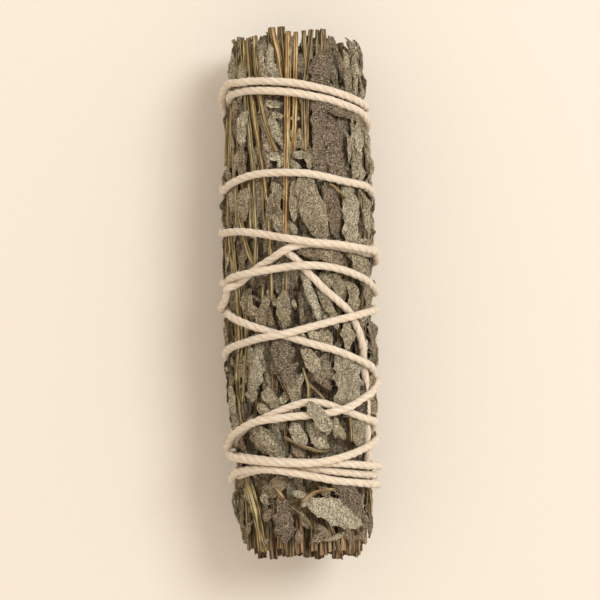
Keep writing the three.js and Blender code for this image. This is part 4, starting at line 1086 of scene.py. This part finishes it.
# Thinner stems, twigs and a tendril, listed the same way.
thinStems = [
    (0.55, 0.6, (230, 50, -0.9), (229.5, 97, -0.9)),
    (0.7, 0.14, (272, 28, -1.6), (279, 60, -1.5), (283, 92, -1.9)),
    (0.62, 0.85, (281, 27, -2.2), (283.5, 60, -2.0), (286, 98, -2.4)),
    (0.34, 0.4, (304, 31, -1.4), (306, 58, -1.0), (308.6, 83, -1.0)),
    (0.3, 0.5, (317, 30, -1.8), (316, 62, -1.2)), (0.66, 0.85, (322.5, 30, -2.2), (322, 54, -1.8)),
    (0.3, 0.2, (307.5, 98, -0.7), (307, 147, -0.8)),
    (0.36, 0.45, (228, 106, -0.5), (225, 132, -0.3), (223.8, 150, -0.3), (222, 178, -0.3)),
    (0.34, 0.6, (227, 130, -0.7), (226.5, 182, -0.6)),
    (0.36, 0.5, (231.7, 186, -0.8), (232.5, 229, -0.7), (236, 272, -0.7)),
    (0.34, 0.8, (224, 238, -0.3), (223, 276, -0.2)),
    (0.34, 0.85, (229, 300, -0.3), (226, 352, -0.2), (228, 395, 0.0)),
    (0.4, 0.35, (246, 292, -0.9), (247, 350, -0.7), (243, 402, -0.7)),
    (0.24, 0.3, (329, 184, 0.9), (337, 188, 1.1), (345, 198, 0.9)),
    (0.2, 0.95, (273, 368, -0.2), (273, 394, -0.2)),
    (0.4, 0.8, (274, 366, -0.3), (290, 398, -0.2)),
    (0.24, 0.4, (302.8, 368, 0.1), (308.5, 386, 0.3), (307, 402, 0.2)),
    (0.2, 0.4, (308.5, 383, 0.3), (324.5, 399, 0.5)),
    (0.45, 0.75, (351, 418, 0.9), (351.5, 441, 0.8)),
    (0.36, 0.8, (284, 437, 0.6), (300, 446, 0.9), (320, 452, 0.8), (331, 450, 0.6)),
    (0.12, 0.3, (289, 505, 0.2), (301.5, 514.5, 0.6), (313, 529, 0.3)),
    (0.6, 0.8, (369, 489, 0.5), (373, 512, 0.6)),
    (0.36, 0.3, (302, 502, 0.9), (314, 492, 1.0), (336, 489, 1.0)),
    (0.5, 0.9, (275, 488, -0.3), (284, 499, -0.3)), (0.3, 0.5, (263, 286, -0.8), (262, 330, -0.8)),
    (0.4, 0.75, (285.5, 262, -0.7), (286, 292, -0.7)),
    (0.35, 0.3, (271, 262, -0.8), (272, 300, -0.7)),
    (0.35, 0.5, (250, 506, -0.7), (247, 548, -0.9)),
    (0.35, 0.8, (330, 524, -0.4), (341, 553, -0.5)),
    (0.42, 0.92, (221, 234, -0.1), (220.5, 276, -0.1)),
    (0.4, 0.55, (227, 238, -0.3), (226, 276, -0.3)),
    (0.36, 0.35, (233, 240, -0.5), (236, 274, -0.5)),
    (0.4, 0.88, (223, 284, 0.0), (221, 332, 0.0)), (0.38, 0.6, (229, 284, -0.2), (233, 352, -0.2)),
    (0.36, 0.42, (225, 332, 0.0), (229, 402, 0.0)), (0.4, 0.88, (221, 358, 0.2), (224, 412, 0.2)),
    (0.35, 0.5, (222, 118, 0.2), (218, 166, 0.4)), (0.34, 0.82, (226, 110, 0.0), (220, 152, 0.2)),
    (0.4, 0.45, (232, 108, -0.3), (229, 170, -0.2)), (0.3, 0.9, (219, 240, 0.2), (219, 272, 0.2)),
    (0.35, 0.6, (224, 300, 0.1), (225, 318, 0.1)), (0.3, 0.35, (241, 190, -0.6), (243, 228, -0.6)),
    (0.42, 0.5, (249, 184, -0.7), (251, 230, -0.8)),
    (0.32, 0.7, (262, 180, -0.8), (264, 222, -0.8)),
    (0.4, 0.3, (233, 112, -0.3), (231, 168, -0.3)),
    (0.3, 0.85, (238, 110, -0.5), (238, 168, -0.6)),
    (0.35, 0.4, (243, 300, -0.7), (247, 338, -0.7)), (0.5, 0.62, (238, 42, -0.8), (240, 97, -0.9)),
    (0.45, 0.45, (244.5, 41, -0.7), (246, 97, -0.8)),
    (0.6, 0.6, (236, 468, -0.6), (234, 500, 0.1), (236, 540, 0.0)),
    (0.5, 0.85, (229, 488, 0.2), (231, 531, 0.2)), (0.5, 0.7, (247, 498, -0.5), (250, 549, -0.3)),
    (0.4, 0.35, (236, 182, -0.5), (237, 230, -0.5)),
    (0.34, 0.85, (228, 186, -0.2), (228, 232, -0.2)),
    (0.4, 0.5, (232, 400, -0.1), (238, 448, -0.2)),
    (0.36, 0.85, (240, 400, -0.4), (246, 440, -0.5)),
]
# Cut stem ends seen from above: across, down and level of the end, and radius.
topStubs = [(272, 28, -1.5, 0.8), (282, 27, -2.5, 0.8), (304, 31, -1.2, 0.55),
            (317.5, 30, -3.0, 0.4), (323.5, 30, -1.8, 0.75), (329.5, 41, -1.5, 0.4),
            (340, 50, -3.0, 0.6)]
bottomStubs = [(234, 546, -0.6, 0.8), (243, 548, -0.9, 0.8), (251, 553, -1.8, 0.85),
               (261, 558, -2.2, 0.9), (274.5, 559, -1.6, 0.8), (287, 556, -1.6, 0.85),
               (300, 553, -0.4, 0.95), (309, 557, -2.2, 0.8), (319, 558, -1.8, 0.85),
               (328, 545, -2.6, 0.8), (337, 559, -1.2, 1.0), (346, 555, -1.0, 0.85),
               (354, 556, -0.9, 0.85), (362, 555, -0.7, 0.8), (369, 551, -0.5, 0.7)]
# More cut ends between those at the bottom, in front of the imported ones.
fringe = [(231, 537, -0.2, 0.6), (238, 543, 0.0, 0.6), (247, 549, -0.4, 0.65),
          (256, 547, -0.9, 0.55), (268, 551, -0.7, 0.7), (281, 549, -0.6, 0.6),
          (293, 556, -0.9, 0.7), (314, 551, -0.6, 0.6), (323, 555, -0.8, 0.7),
          (331, 551, -0.3, 0.75), (342, 550, -0.2, 0.7), (350, 553, 0.0, 0.7),
          (358, 551, 0.2, 0.75), (366, 543, 0.3, 0.7), (372, 536, 0.1, 0.6),
          (227, 528, -0.4, 0.5)]

# The leafy sprigs lie side by side round the bundle, as in the part's own source.
sprigs = {"angles": [-15, 33, 88, 136, 184, 216, 248, 292, 345],
          "seeds": [11, 23, 37, 41, 53, 67, 79, 83], "resting": 6,
          "columns": [[0], [], [], [1], [0, 1], [0, 1], [], [0, 1]],
          "rows": 4, "pitch": 21, "length": 17, "width": 4.6, "hiddenLevel": -0.3,
          "firstY": 40, "columnShift": 7, "jitter": 2, "lowestTip": -50,
          "places": (0.27, 0.46), "lean": 0.16, "wider": 0.6,
          "bladeDraws": 18, "restingDraws": 28 * 4, "hiddenDraws": 14}
sprigAngles = [math.radians(a) for a in sprigs["angles"]]


def sprigAt(angle):
    turned = angle + 2 * pi if angle < sprigAngles[0] else angle
    edges = zip(sprigAngles[:-1], sprigAngles[1:])
    return next(i for i, (start, end) in enumerate(edges) if start <= turned < end)


def within(index, share):  # an angle of one sprig, by its share of the way across
    start, end = sprigAngles[index], sprigAngles[index + 1]
    return start + (end - start) * share


def seenPlace(across, down, level):
    return seenFromAbove(across, down, bundle["herbLevel"] + level)


def listed(rows, index):  # the rows whose middle is in one sprig, with their place in the list
    found = []
    for number, row in enumerate(rows):
        middle = seenPlace((row[0] + row[2]) / 2, (row[1] + row[3]) / 2, 0)
        if sprigAt(middle[0]) == index:
            found.append((number, row))
    return found


def chance(seed, low, high):  # one fixed draw for a number
    return low + (high - low) * (0.5 + 0.5 * float(lattice(seed, 77, 9)))


# The least and the most of what differs from one listed leaf to the next.
seenHabit = {"curl": (-0.3, 0.75), "twist": (-0.35, 0.35), "bend": (-0.05, 0.05),
             "shade": (0.9, 1.1)}
# The first seed of each kind of leaf and stem.
firstSeeds = {"oval": 20, "rolled": 120, "small": 160, "yellow": 240, "hidden": 300,
              "resting": 400, "twig": 500, "bare": 600, "brown": 650, "scrap": 700, "end": 700,
              "thin": 800, "filler": 900, "packedEnd": 3000}


def seenLeaf(gathering, row, seed, **own):
    across, down, tipAcross, tipDown, width, level, tone = row
    root, tip = seenPlace(across, down, level), seenPlace(tipAcross, tipDown, level)
    habit = {name: chance(seed + step, *span)
             for step, (name, span) in enumerate(seenHabit.items())}
    addLeaf(gathering, root, tip, width, level, tone, seed, **{**habit, **own})


def seenStem(gathering, entry, seed, **own):
    radius, tone, *route = entry
    places = [(*seenPlace(*place), place[2]) for place in route]
    addStem(gathering, places, radius, seed, tone=tone, **own)


def stemPiece(name, entry, seed):
    gathering = Gathering()
    seenStem(gathering, entry, seed, sides=16, step=0.6)
    return gathering.make(name + "_ribbed", dried, "bare_stem", name)


brownHabit = {"shape": "blunt", "step": 0.26, "ragged": 0.34, "crinkle": 0.38, "pebble": 0.16,
              "ruffle": 0.4, "sink": 0.6, "curl": 0.7}


def brownLeafPiece(name, row, seed):
    gathering = Gathering()
    seenLeaf(gathering, row, seed, **brownHabit)
    return gathering.make(name + "_felted", felted, "brown_leaf", name)


def hiddenLeaves(index, draw):  # the same rule and draws as in the part's own source
    leaves = []
    first, apart = sprigs["places"]
    for row in range(sprigs["rows"]):
        for column in sprigs["columns"][index]:
            y = sprigs["firstY"] - row * sprigs["pitch"] - column * sprigs["columnShift"]
            y -= sprigs["jitter"] * draw()
            angle = within(index, first + apart * column)
            lean = (draw() - 0.5) * sprigs["lean"]
            tipY = max(y - sprigs["length"] - sprigs["jitter"] * draw(), sprigs["lowestTip"])
            width = sprigs["width"] + sprigs["wider"] * draw()
            leaves.append(((angle, y), (angle + lean, tipY), width))
    return leaves


flanks = {"leftWidth": 0.55, "rightWidth": 0.45, "rightShare": 0.6}


def flank(angle):  # 1 at the left side of the bundle, less at the right side, 0 between
    left, right = angle - pi, (angle + pi) % (2 * pi) - pi
    return (np.exp(-(left / flanks["leftWidth"]) ** 2)
            + flanks["rightShare"] * np.exp(-(right / flanks["rightWidth"]) ** 2))


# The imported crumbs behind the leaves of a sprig.
core = {"top": 43, "bottom": -47, "depth": 2.1, "rows": 72, "cols": 19, "apart": 0.004,
        "lumps": (1.9, 2.6), "crumbs": (0.8, 1.1), "crumbShare": 0.5, "lumpHeight": 0.4,
        "flank": 1.5, "underCord": 0.4, "endLength": 3, "endDrop": 1.8, "innerShare": 0.03}


def addCore(gathering, index):
    start, end = sprigAngles[index] + core["apart"], sprigAngles[index + 1] - core["apart"]
    y = np.linspace(core["bottom"], core["top"], core["rows"])[:, None]
    angle = np.linspace(start, end, core["cols"])[None, :]
    y, angle = np.broadcast_arrays(y, angle)
    around = angle * bundle["halfWidth"]
    lumps, crumbs = (rough(around / core[name][0], y / core[name][1], index + seed)
                     for name, seed in (("lumps", 40), ("crumbs", 50)))
    level = core["lumpHeight"] * (lumps + core["crumbShare"] * crumbs) - core["depth"]
    level = level + core["flank"] * flank(angle)
    level = bundle["herbLevel"] + np.minimum(level, pressed(angle, y) - core["underCord"])
    inward = np.minimum(y - core["bottom"], core["top"] - y) / core["endLength"]
    level = level - core["endDrop"] * np.clip(1 - inward, 0, 1) ** 2
    outer = onOval(angle, y, level)
    axis = np.stack(np.broadcast_arrays(centreX(y), y, bundle["axisZ"]), axis=-1)
    inner = axis + core["innerShare"] * (outer - axis)
    # The angle grows from right to left seen from above, so the grid is turned to face out.
    points = np.concatenate([outer[:, ::-1].reshape(-1, 3), inner[:, ::-1].reshape(-1, 3)])
    quads = shellQuads(core["rows"], core["cols"])
    gathering.add(points, quads, np.ones((len(points), 3)), np.zeros((quads.size, 2)))


# Leaves and twigs that fill the rest of the surface, by seeded draws. Pairs are the least
# and what a draw adds to it.
fillers = {"seed": 211, "seedStep": 7, "leaves": 122, "lowest": -45.5, "reach": 94,
           "across": (0.03, 0.94), "length": (6, 9), "lengthPower": 1.5, "width": (1.5, 1.9),
           "widthPower": 1.3, "lean": 0.95, "leanOften": 0.14, "leanMore": 2.3,
           "front": (0.45, 2.6), "frontLevel": (-2.1, 1.7), "backLevel": (-1.8, 2.1),
           "levelPower": 1.4, "flank": 0.8, "tipBelow": 2.5, "highestTip": 50.5, "edge": 0.04,
           "tone": (0.08, 0.85), "tonePower": 1.5, "curl": (-0.8, 2.1), "twist": 1.6,
           "bend": 0.16, "shade": (0.8, 0.3), "shapes": ("oval", "slim", "blunt", "oval")}
fillerHabit = {"crown": 0.3, "sink": 0.8, "ruffle": 0.4, "crinkle": 0.34, "ragged": 0.22,
               "step": 0.72, "yields": True, "pebble": 0}
twigs = {"each": 7, "y": (-44, 80), "across": (0.08, 0.84), "length": (10, 22), "lean": 0.16,
         "bend": 0.05, "highestTip": 47, "edge": 0.05, "level": (-1.5, 0.6),
         "radius": (0.26, 0.24), "tone": (0.1, 0.8), "shade": (0.8, 0.2)}
golden = 0.618  # a step that spreads numbered places evenly


def spreadOver(pair, share):
    return pair[0] + pair[1] * share


def addFillers(leaves, index):
    start, end = sprigAngles[index], sprigAngles[index + 1]
    draw = seeded(fillers["seed"] + fillers["seedStep"] * index)
    count = int(fillers["leaves"] * (end - start) / math.radians(45))
    for number in range(count):
        draw()
        y = fillers["lowest"] + 2 + fillers["reach"] * ((number * golden + 0.3 * draw()) % 1)
        angle = within(index, spreadOver(fillers["across"], draw()))
        length = spreadOver(fillers["length"], draw() ** fillers["lengthPower"])
        width = spreadOver(fillers["width"], draw() ** fillers["widthPower"])
        lean = (draw() - 0.5) * fillers["lean"]
        if draw() < fillers["leanOften"]:
            lean *= fillers["leanMore"]
        way = 1 if draw() < 0.5 else -1
        inFront = fillers["front"][0] < angle < fillers["front"][1]
        level = fillers["frontLevel" if inFront else "backLevel"]
        level = spreadOver(level, draw() ** fillers["levelPower"])
        level += fillers["flank"] * float(flank(angle))
        tipY = y + way * length * math.cos(lean)
        lowest = fillers["lowest"] - fillers["tipBelow"] * draw()
        tipY = max(lowest, min(fillers["highestTip"], tipY))
        tipAngle = angle + length * math.sin(lean) / bundle["halfWidth"]
        tipAngle = max(start + fillers["edge"], min(end - fillers["edge"], tipAngle))
        tone = spreadOver(fillers["tone"], draw() ** fillers["tonePower"])
        habit = {"curl": spreadOver(fillers["curl"], draw()),
                 "twist": (draw() - 0.5) * fillers["twist"],
                 "bend": (draw() - 0.5) * fillers["bend"],
                 "shade": spreadOver(fillers["shade"], draw()),
                 "shape": fillers["shapes"][int(4 * draw())]}
        addLeaf(leaves, (angle, y), (tipAngle, tipY), width, level, tone,
                firstSeeds["filler"] + index * 300 + number, **fillerHabit, **habit)
    return draw


def addTwigs(stems, index, draw):
    start, end = sprigAngles[index], sprigAngles[index + 1]
    for number in range(twigs["each"]):
        y = spreadOver(twigs["y"], draw())
        angle = within(index, spreadOver(twigs["across"], draw()))
        length = spreadOver(twigs["length"], draw())
        lean = (draw() - 0.5) * twigs["lean"]
        tipY = min(twigs["highestTip"], y + length)
        middle = angle + lean * 0.5 + (draw() - 0.5) * twigs["bend"]
        tipAngle = max(start + twigs["edge"], min(end - twigs["edge"], angle + lean))
        level = spreadOver(twigs["level"], draw())
        route = [(angle, y, level), (middle, (y + tipY) / 2, level), (tipAngle, tipY, level)]
        radius = spreadOver(twigs["radius"], draw())
        habit = {"tone": spreadOver(twigs["tone"], draw()), "sides": 10, "step": 1.1,
                 "shade": spreadOver(twigs["shade"], draw())}
        addStem(stems, route, radius, firstSeeds["twig"] + index * 20 + number, **habit)


# Cut stem ends, straw coloured at the top of the bundle and brown at the bottom.
stubHabit = {"sides": 14, "knots": 0, "step": 0.8, "ragged": 0.4}
stubs = {"inside": 3, "topTone": (0.05, 0.75), "bottomTone": (0.72, 1.0), "topTaper": 0.95,
         "bottomTaper": 1.15, "shade": (0.75, 1.0), "lean": 0.05}


def addStub(stems, angle, level, y, radius, lean, seed, **own):
    atTop = y > 0
    inside = core["top"] - stubs["inside"] if atTop else core["bottom"] + stubs["inside"]
    route = [(angle, inside, level), (angle + lean * 0.5, (inside + y) / 2, level),
             (angle + lean, y, level)]
    habit = {"tone": chance(seed, *stubs["topTone" if atTop else "bottomTone"]),
             "taper": stubs["topTaper" if atTop else "bottomTaper"],
             "shade": chance(seed + 1, *stubs["shade"])}
    addStem(stems, route, radius, seed, **{**stubHabit, **habit, **own})


# Packed cut ends over the whole of both end faces. Those further in get a darker colour, as
# painted shade.
endStems = {"each": 15, "across": (0.1, 0.8), "level": (-14.2, 12.2), "top": (44.5, 5.5),
            "bottom": (-47.8, -4.2), "radius": (0.5, 0.32), "lean": 0.03, "shade": (0.55, 0.3)}


def addEndStems(stems, index, draw):
    for number in range(endStems["each"]):
        for way in (1, -1):
            share = math.sqrt((number + 0.4 + 0.5 * draw()) / endStems["each"])
            across = (number * golden + 0.3 * draw()) % 1
            angle = within(index, spreadOver(endStems["across"], across))
            level = spreadOver(endStems["level"], share)
            reach = spreadOver(endStems["top" if way > 0 else "bottom"], draw())
            radius = spreadOver(endStems["radius"], draw())
            addStub(stems, angle, level, reach, radius, endStems["lean"] * (draw() - 0.5),
                    firstSeeds["packedEnd"] + index * 60 + number * 2 + (way > 0), sides=10,
                    step=1.4, shade=spreadOver(endStems["shade"], share))


# A few larger cut ends, deeper on the upper sprigs.
moreEnds = {"each": 3, "onTop": (0.3, 2.6), "across": (0.2, 0.6), "topLevel": (-6, -6),
            "sideLevel": (-3, -6), "top": (46.5, 4), "bottom": (-49.5, -2.5),
            "radius": (0.65, 0.25)}


def addMoreEnds(stems, index, draw):
    low, high = moreEnds["onTop"]
    onTop = sprigAngles[index] > low and sprigAngles[index + 1] < high
    for number in range(moreEnds["each"]):
        for way in (-1, 1):
            angle = within(index, spreadOver(moreEnds["across"], draw()))
            level = spreadOver(moreEnds["topLevel" if onTop else "sideLevel"], draw())
            reach = spreadOver(moreEnds["top" if way > 0 else "bottom"], draw())
            radius = spreadOver(moreEnds["radius"], draw())
            addStub(stems, angle, level - bundle["herbLevel"], reach, radius,
                    stubs["lean"] * (draw() - 0.5),
                    firstSeeds["end"] + index * 10 + number * 2 + (way > 0))


fringeHabit = {"taper": 1.35, "ragged": 0.6, "knots": 0, "step": 0.5, "sides": 16,
               "ribDepth": 0.22}
fringeTone = (0.75, 1.0)
fringeRise = ((8, -1.6), (4, -0.4), (0, 0))  # how far inside, and how much lower there


def addSeenEnds(stems, index, draw):
    for across, down, level, radius in topStubs + bottomStubs:
        angle, y = seenPlace(across, down, level - radius)
        if sprigAt(angle) == index:
            addStub(stems, angle, level - radius, y, radius, stubs["lean"] * (draw() - 0.5),
                    int(across + 2 * down), step=0.5, ribDepth=0.2)
    for across, down, level, radius in fringe:
        angle, y = seenPlace(across, down, level - radius)
        if sprigAt(angle) == index:
            route = [(angle, y + inside, level - radius + lower) for inside, lower in fringeRise]
            addStem(stems, route, radius, int(across * 3 + down),
                    tone=chance(int(down + across), *fringeTone), **fringeHabit)


# Torn scraps of leaf that cling to the surface of the upper sprigs.
scraps = {"each": 14, "sprigs": 4, "seed": 4001, "seedStep": 17, "reach": 88,
          "length": (1.1, 1.5), "level": (0.6, 0.9), "width": (0.35, 0.3), "darkest": 0.95,
          "curl": 1.3}
scrapHabit = {"yields": True, "sink": 0.3, "crown": 0.2, "crinkle": 0.15, "ruffle": 0.3,
              "ragged": 0.25, "tipDrop": 0.1}


def addScraps(gathering, index):
    draw = seeded(scraps["seed"] + scraps["seedStep"] * index)
    for number in range(scraps["each"]):
        angle, y = within(index, draw()), fillers["lowest"] + scraps["reach"] * draw()
        length = spreadOver(scraps["length"], draw())
        turn, level = 2 * pi * draw(), spreadOver(scraps["level"], draw())
        tip = (angle + length * math.cos(turn) / bundle["halfWidth"], y + length * math.sin(turn))
        width, tone = length * spreadOver(scraps["width"], draw()), scraps["darkest"] * draw()
        addLeaf(gathering, (angle, y), tip, width, level, tone,
                firstSeeds["scrap"] + 40 * index + number, curl=scraps["curl"] * draw(),
                **scrapHabit)


rolledHabit = {"shape": "slim", "curl": 1.7, "twist": 0.2, "crinkle": 0.15, "sink": 1.2,
               "tipDrop": 0}
rolledWider = 1.5
smallHabit = {"yields": True, "sink": 0.7, "crown": 0.8, "ruffle": 0.35, "crinkle": 0.28,
              "ragged": 0.2}
smallLeaf = {"lift": 0.7, "liftTo": 0.8, "curl": (0.4, 1.3), "shade": (1.0, 1.25)}


def addSeenLeaves(leaves, index):
    for number, row in listed(ovalLeaves, index):
        seenLeaf(leaves, row, firstSeeds["oval"] + number, **specialLeaves.get(number, {}))
    for number, (*places, width, level, tone) in listed(rolledLeaves, index):
        wider = (*places, width * rolledWider, level, tone)
        seenLeaf(leaves, wider, firstSeeds["rolled"] + number, **rolledHabit)
    for number, (*most, level, tone) in listed(smallLeaves, index):
        lifted = max(level, min(level + smallLeaf["lift"], smallLeaf["liftTo"]))
        seenLeaf(leaves, (*most, lifted, tone), firstSeeds["small"] + number, **smallHabit,
                 curl=chance(number, *smallLeaf["curl"]),
                 shade=chance(number + 7, *smallLeaf["shade"]))
    for number, row in listed(yellowLeaves, index):
        seenLeaf(leaves, row, firstSeeds["yellow"] + number, yellow=0.8, sink=0.7)


# Broad leaves pressed flat underneath, each from one length to another.
resting = {"leaves": [(40, 24), (20, 2), (0, -16), (-14, -29)], "width": 6.5, "level": 2.1,
           "tone": 0.3}
restingHabit = {"shape": "long", "curl": 0.15, "sink": 3.0, "crown": 0.3, "tipDrop": 0.8,
                "step": 0.3}
hiddenHabit = {"shape": "oval", "curl": 0.5, "ragged": 0.14, "step": 0.3}
hiddenTone = (0.05, 0.7)


def addHiddenLeaves(leaves, index, draw):
    hidden = hiddenLeaves(index, draw)
    for number, (root, tip, width) in enumerate(hidden):
        tone = chance(number + 60 * index, *hiddenTone)
        addLeaf(leaves, root, tip, width, sprigs["hiddenLevel"], tone,
                firstSeeds["hidden"] + 10 * index + number, **hiddenHabit)
    if index == sprigs["resting"]:
        for number, (root, tip) in enumerate(resting["leaves"]):
            addLeaf(leaves, (1.5 * pi, root), (1.5 * pi, tip), resting["width"],
                    resting["level"], resting["tone"], firstSeeds["resting"] + number,
                    **restingHabit)
    return len(hidden)


def skip(draw, count):  # draws that the part's source spends on its own blades
    for _ in range(count):
        draw()


def makeSprig(index):
    node = f"leafy_sprig_{index + 1}"
    leaves, stems, packing = Gathering(), Gathering(), Gathering()
    draw = seeded(sprigs["seeds"][index])
    addSeenLeaves(leaves, index)
    if index < scraps["sprigs"]:
        addScraps(leaves, index)
    skip(draw, sprigs["bladeDraws"] * len(listed(ovalLeaves, index)))
    skip(draw, sprigs["restingDraws"] if index == sprigs["resting"] else 0)
    skip(draw, sprigs["hiddenDraws"] * addHiddenLeaves(leaves, index, draw))
    addSeenEnds(stems, index, draw)
    addMoreEnds(stems, index, draw)
    addTwigs(stems, index, addFillers(leaves, index))
    addEndStems(stems, index, draw)
    for number, entry in enumerate(thinStems):
        middle = entry[2 + len(entry[2:]) // 2]
        if sprigAt(seenPlace(*middle)[0]) == index:
            seenStem(stems, entry, firstSeeds["thin"] + number, sides=12, knots=number % 2)
    addCore(packing, index)
    made = [leaves.make(node + "_leaves", felted, "sage_leaf", node),
            stems.make(node + "_stems", dried, "bare_stem", node),
            packing.make(node + "_core", packed, "sage_leaf", node)]
    print(node, "made:", [len(piece.data.polygons) * 2 for piece in made], "triangles")
    return made[0]


# What sets some of the leaves in the first list apart, by their place in it.
specialLeaves = {
    1: {"pebble": 0.14, "curl": 0.6}, 8: {"shape": "blunt", "pebble": 0.16, "crinkle": 0.3},
    9: {"shape": "blunt", "pebble": 0.12}, 16: {"shape": "long", "pebble": 0.1},
    18: {"shape": "blunt", "pebble": 0.1}, 22: {"shape": "slim", "curl": 1.2, "crinkle": 0.12},
    33: {"shape": "blunt", "ragged": 0.3, "pebble": 0.1}, 38: {"shape": "blunt", "ragged": 0.22},
    40: {"curl": 0.9, "crinkle": 0.25, "over": True, "sink": 3.2, "crown": 0.2},
    46: {"crinkle": 0.06, "curl": 0.9, "pebble": 0.02},
    47: {"curl": 0.45, "crinkle": 0.2, "rib": -0.05, "pebble": 0.1},
}


def stationsOfStems():  # places along the listed stems, with the level of their upper side
    found = []
    for radius, _, *route in [*bareStems.values(), *thinStems]:
        for first, second in zip(route[:-1], route[1:]):
            for share in np.arange(0, 1, herbs["stationShare"]):
                place = [first[i] + (second[i] - first[i]) * share for i in range(3)]
                found.append((*seenPlace(*place), place[2] + radius))
    return np.array(found)


stemStations = stationsOfStems()
for number, (name, entry) in enumerate(bareStems.items()):
    stemPiece(name, entry, firstSeeds["bare"] + number)
print("bare stems made")
for number, (name, *row) in enumerate(brownLeaves):
    brownLeafPiece(name, tuple(row), firstSeeds["brown"] + number)
print("brown leaves made")
sprigLeaves = [makeSprig(index) for index in range(len(sprigs["seeds"]))]


# The shape of one hair, for a length of 1, and how the hairs differ in size and turn.
hairForm = {"facing": 0.2, "sides": 3, "Resolution": 3, "Start": (0, 0, -0.05),
            "Middle": (0.45, 0.5, 0.2), "End": (1.0, -0.1, 0.0), "sizes": (0.5, 1.5),
            "turns": ((-0.3, -0.25, 0), (0.3, 0.15, 2 * pi))}


def hairTree():  # short bent hairs scattered over the faces that look outward
    tree = Tree("scatteredHairs", Density="Float", Seed="Int", Radius="Float", Length="Float",
                Open="Float", Material="Material")
    given = tree.given
    here = tree.node("GeometryNodeInputPosition")[0]
    outward = tree.vectors("SUBTRACT", here, (0, 0, bundle["axisZ"] * mm))
    outward = tree.vectors("NORMALIZE", tree.vectors("MULTIPLY", outward, (1, 0, 1)))
    normal = tree.node("GeometryNodeInputNormal")[0]
    facing = tree.node("ShaderNodeVectorMath", {"operation": "DOT_PRODUCT"},
                       {0: normal, 1: outward})[1]
    look = tree.node("GeometryNodeInputNamedAttribute", {"data_type": "FLOAT_VECTOR"},
                     {"Name": "look"})[0]
    shade = tree.node("ShaderNodeSeparateXYZ", {}, {0: look})[1]
    kept = tree.maths("MULTIPLY", tree.maths("GREATER_THAN", facing, hairForm["facing"]),
                      tree.maths("GREATER_THAN", shade, given["Open"]))
    points = tree.node("GeometryNodeDistributePointsOnFaces", {"distribute_method": "RANDOM"},
                       {0: given["Geometry"], "Seed": given["Seed"],
                        "Density": tree.maths("MULTIPLY", kept, given["Density"])})
    line = tree.node("GeometryNodeCurveQuadraticBezier", {},
                     {key: hairForm[key] for key in ("Resolution", "Start", "Middle", "End")})[0]
    ring = tree.node("GeometryNodeCurvePrimitiveCircle", {"mode": "RADIUS"},
                     {0: hairForm["sides"], 4: given["Radius"]})[0]
    hair = tree.node("GeometryNodeCurveToMesh", {}, {0: line, 1: ring, "Fill Caps": True})[0]
    least, most = hairForm["sizes"]
    size = tree.node("FunctionNodeRandomValue", {"data_type": "FLOAT"},
                     {2: least, 3: most, 8: given["Seed"]})[1]
    placed = tree.node("GeometryNodeInstanceOnPoints", {},
                       {"Points": points[0], "Instance": hair, "Rotation": points[2],
                        "Scale": tree.maths("MULTIPLY", size, given["Length"])})[0]
    low, high = hairForm["turns"]
    turn = tree.node("FunctionNodeRandomValue", {"data_type": "FLOAT_VECTOR"},
                     {0: low, 1: high, 8: given["Seed"]})[0]
    tree.end(tree.node("GeometryNodeRotateInstances", {}, {0: placed, "Rotation": turn})[0])
    return tree


# A hair's radius is a share of its length, and leaves darker than open have none.
hairs = {"leafDensity": 0.41e6, "leafLength": 0.55, "leafRadius": 0.085, "open": 0.82,
         "leafSeed": 31, "cordDensity": 0.75e6, "cordLength": 0.85, "cordRadius": 0.028,
         "cordSeed": 71, "lowest": 0.02, "points": 12}
scattered = hairTree()


def addHairs(source, name, node, slot, **values):
    piece = scattered.run(source, name, **values)
    for corner in piece.data.vertices:  # no hair goes into the table
        corner.co.z = max(corner.co.z, hairs["lowest"] * mm)
    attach(piece, "root")
    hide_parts(node)
    return len(piece.data.vertices) // hairs["points"]


hairCount = 0
for index, leaves in enumerate(sprigLeaves):
    node = f"leafy_sprig_{index + 1}"
    hairCount += addHairs(
        leaves.data, node + "_hairs", node, "sage_leaf", Density=hairs["leafDensity"],
        Seed=hairs["leafSeed"] + index, Radius=hairs["leafRadius"], Open=hairs["open"],
        Length=hairs["leafLength"] * mm, Material=downy)
fluffCount = addHairs(
    bindingCord.data, "cordFluff", "binding_cord", "cotton_cord",
    Density=hairs["cordDensity"], Seed=hairs["cordSeed"], Radius=hairs["cordRadius"],
    Open=-1.0, Length=hairs["cordLength"] * mm, Material=fluffy)
print("hairs made:", hairCount, "on the leaves,", fluffCount, "on the cord")


studio = {"floor": 1600, "air": 0.9, "airTint": "fff1e3",
          "lamps": [("windowLight", (0.54, 0.37, 0.9), 0.5, 6.8, "f9fbff")]}


def makeFloor():
    size = studio["floor"] * mm
    corners = [(x * size, y * size, 0) for y in (-1, 1) for x in (-1, 1)]
    mesh = bpy.data.meshes.new("paperFloor")
    mesh.from_pydata(corners, [], [(0, 1, 3, 2)])
    mesh.materials.append(paper)
    floor = bpy.data.objects.new("paperFloor", mesh)
    bpy.context.scene.collection.objects.link(floor)


def makeLights():
    world = bpy.data.worlds.new("studioAir")
    world.use_nodes = True
    air = world.node_tree.nodes["Background"]
    air.inputs["Color"].default_value = (*flatColour(studio["airTint"]), 1)
    air.inputs["Strength"].default_value = studio["air"]
    bpy.context.scene.world = world
    for name, place, size, power, tint in studio["lamps"]:
        lamp = bpy.data.lights.new(name, "AREA")
        lamp.shape, lamp.size, lamp.energy = "DISK", size, power
        lamp.color = flatColour(tint)
        holder = bpy.data.objects.new(name, lamp)
        holder.location = place
        holder.rotation_euler = (-holder.location).to_track_quat("-Z", "Y").to_euler()
        bpy.context.scene.collection.objects.link(holder)


makeFloor()
makeLights()
print("floor and lights made")
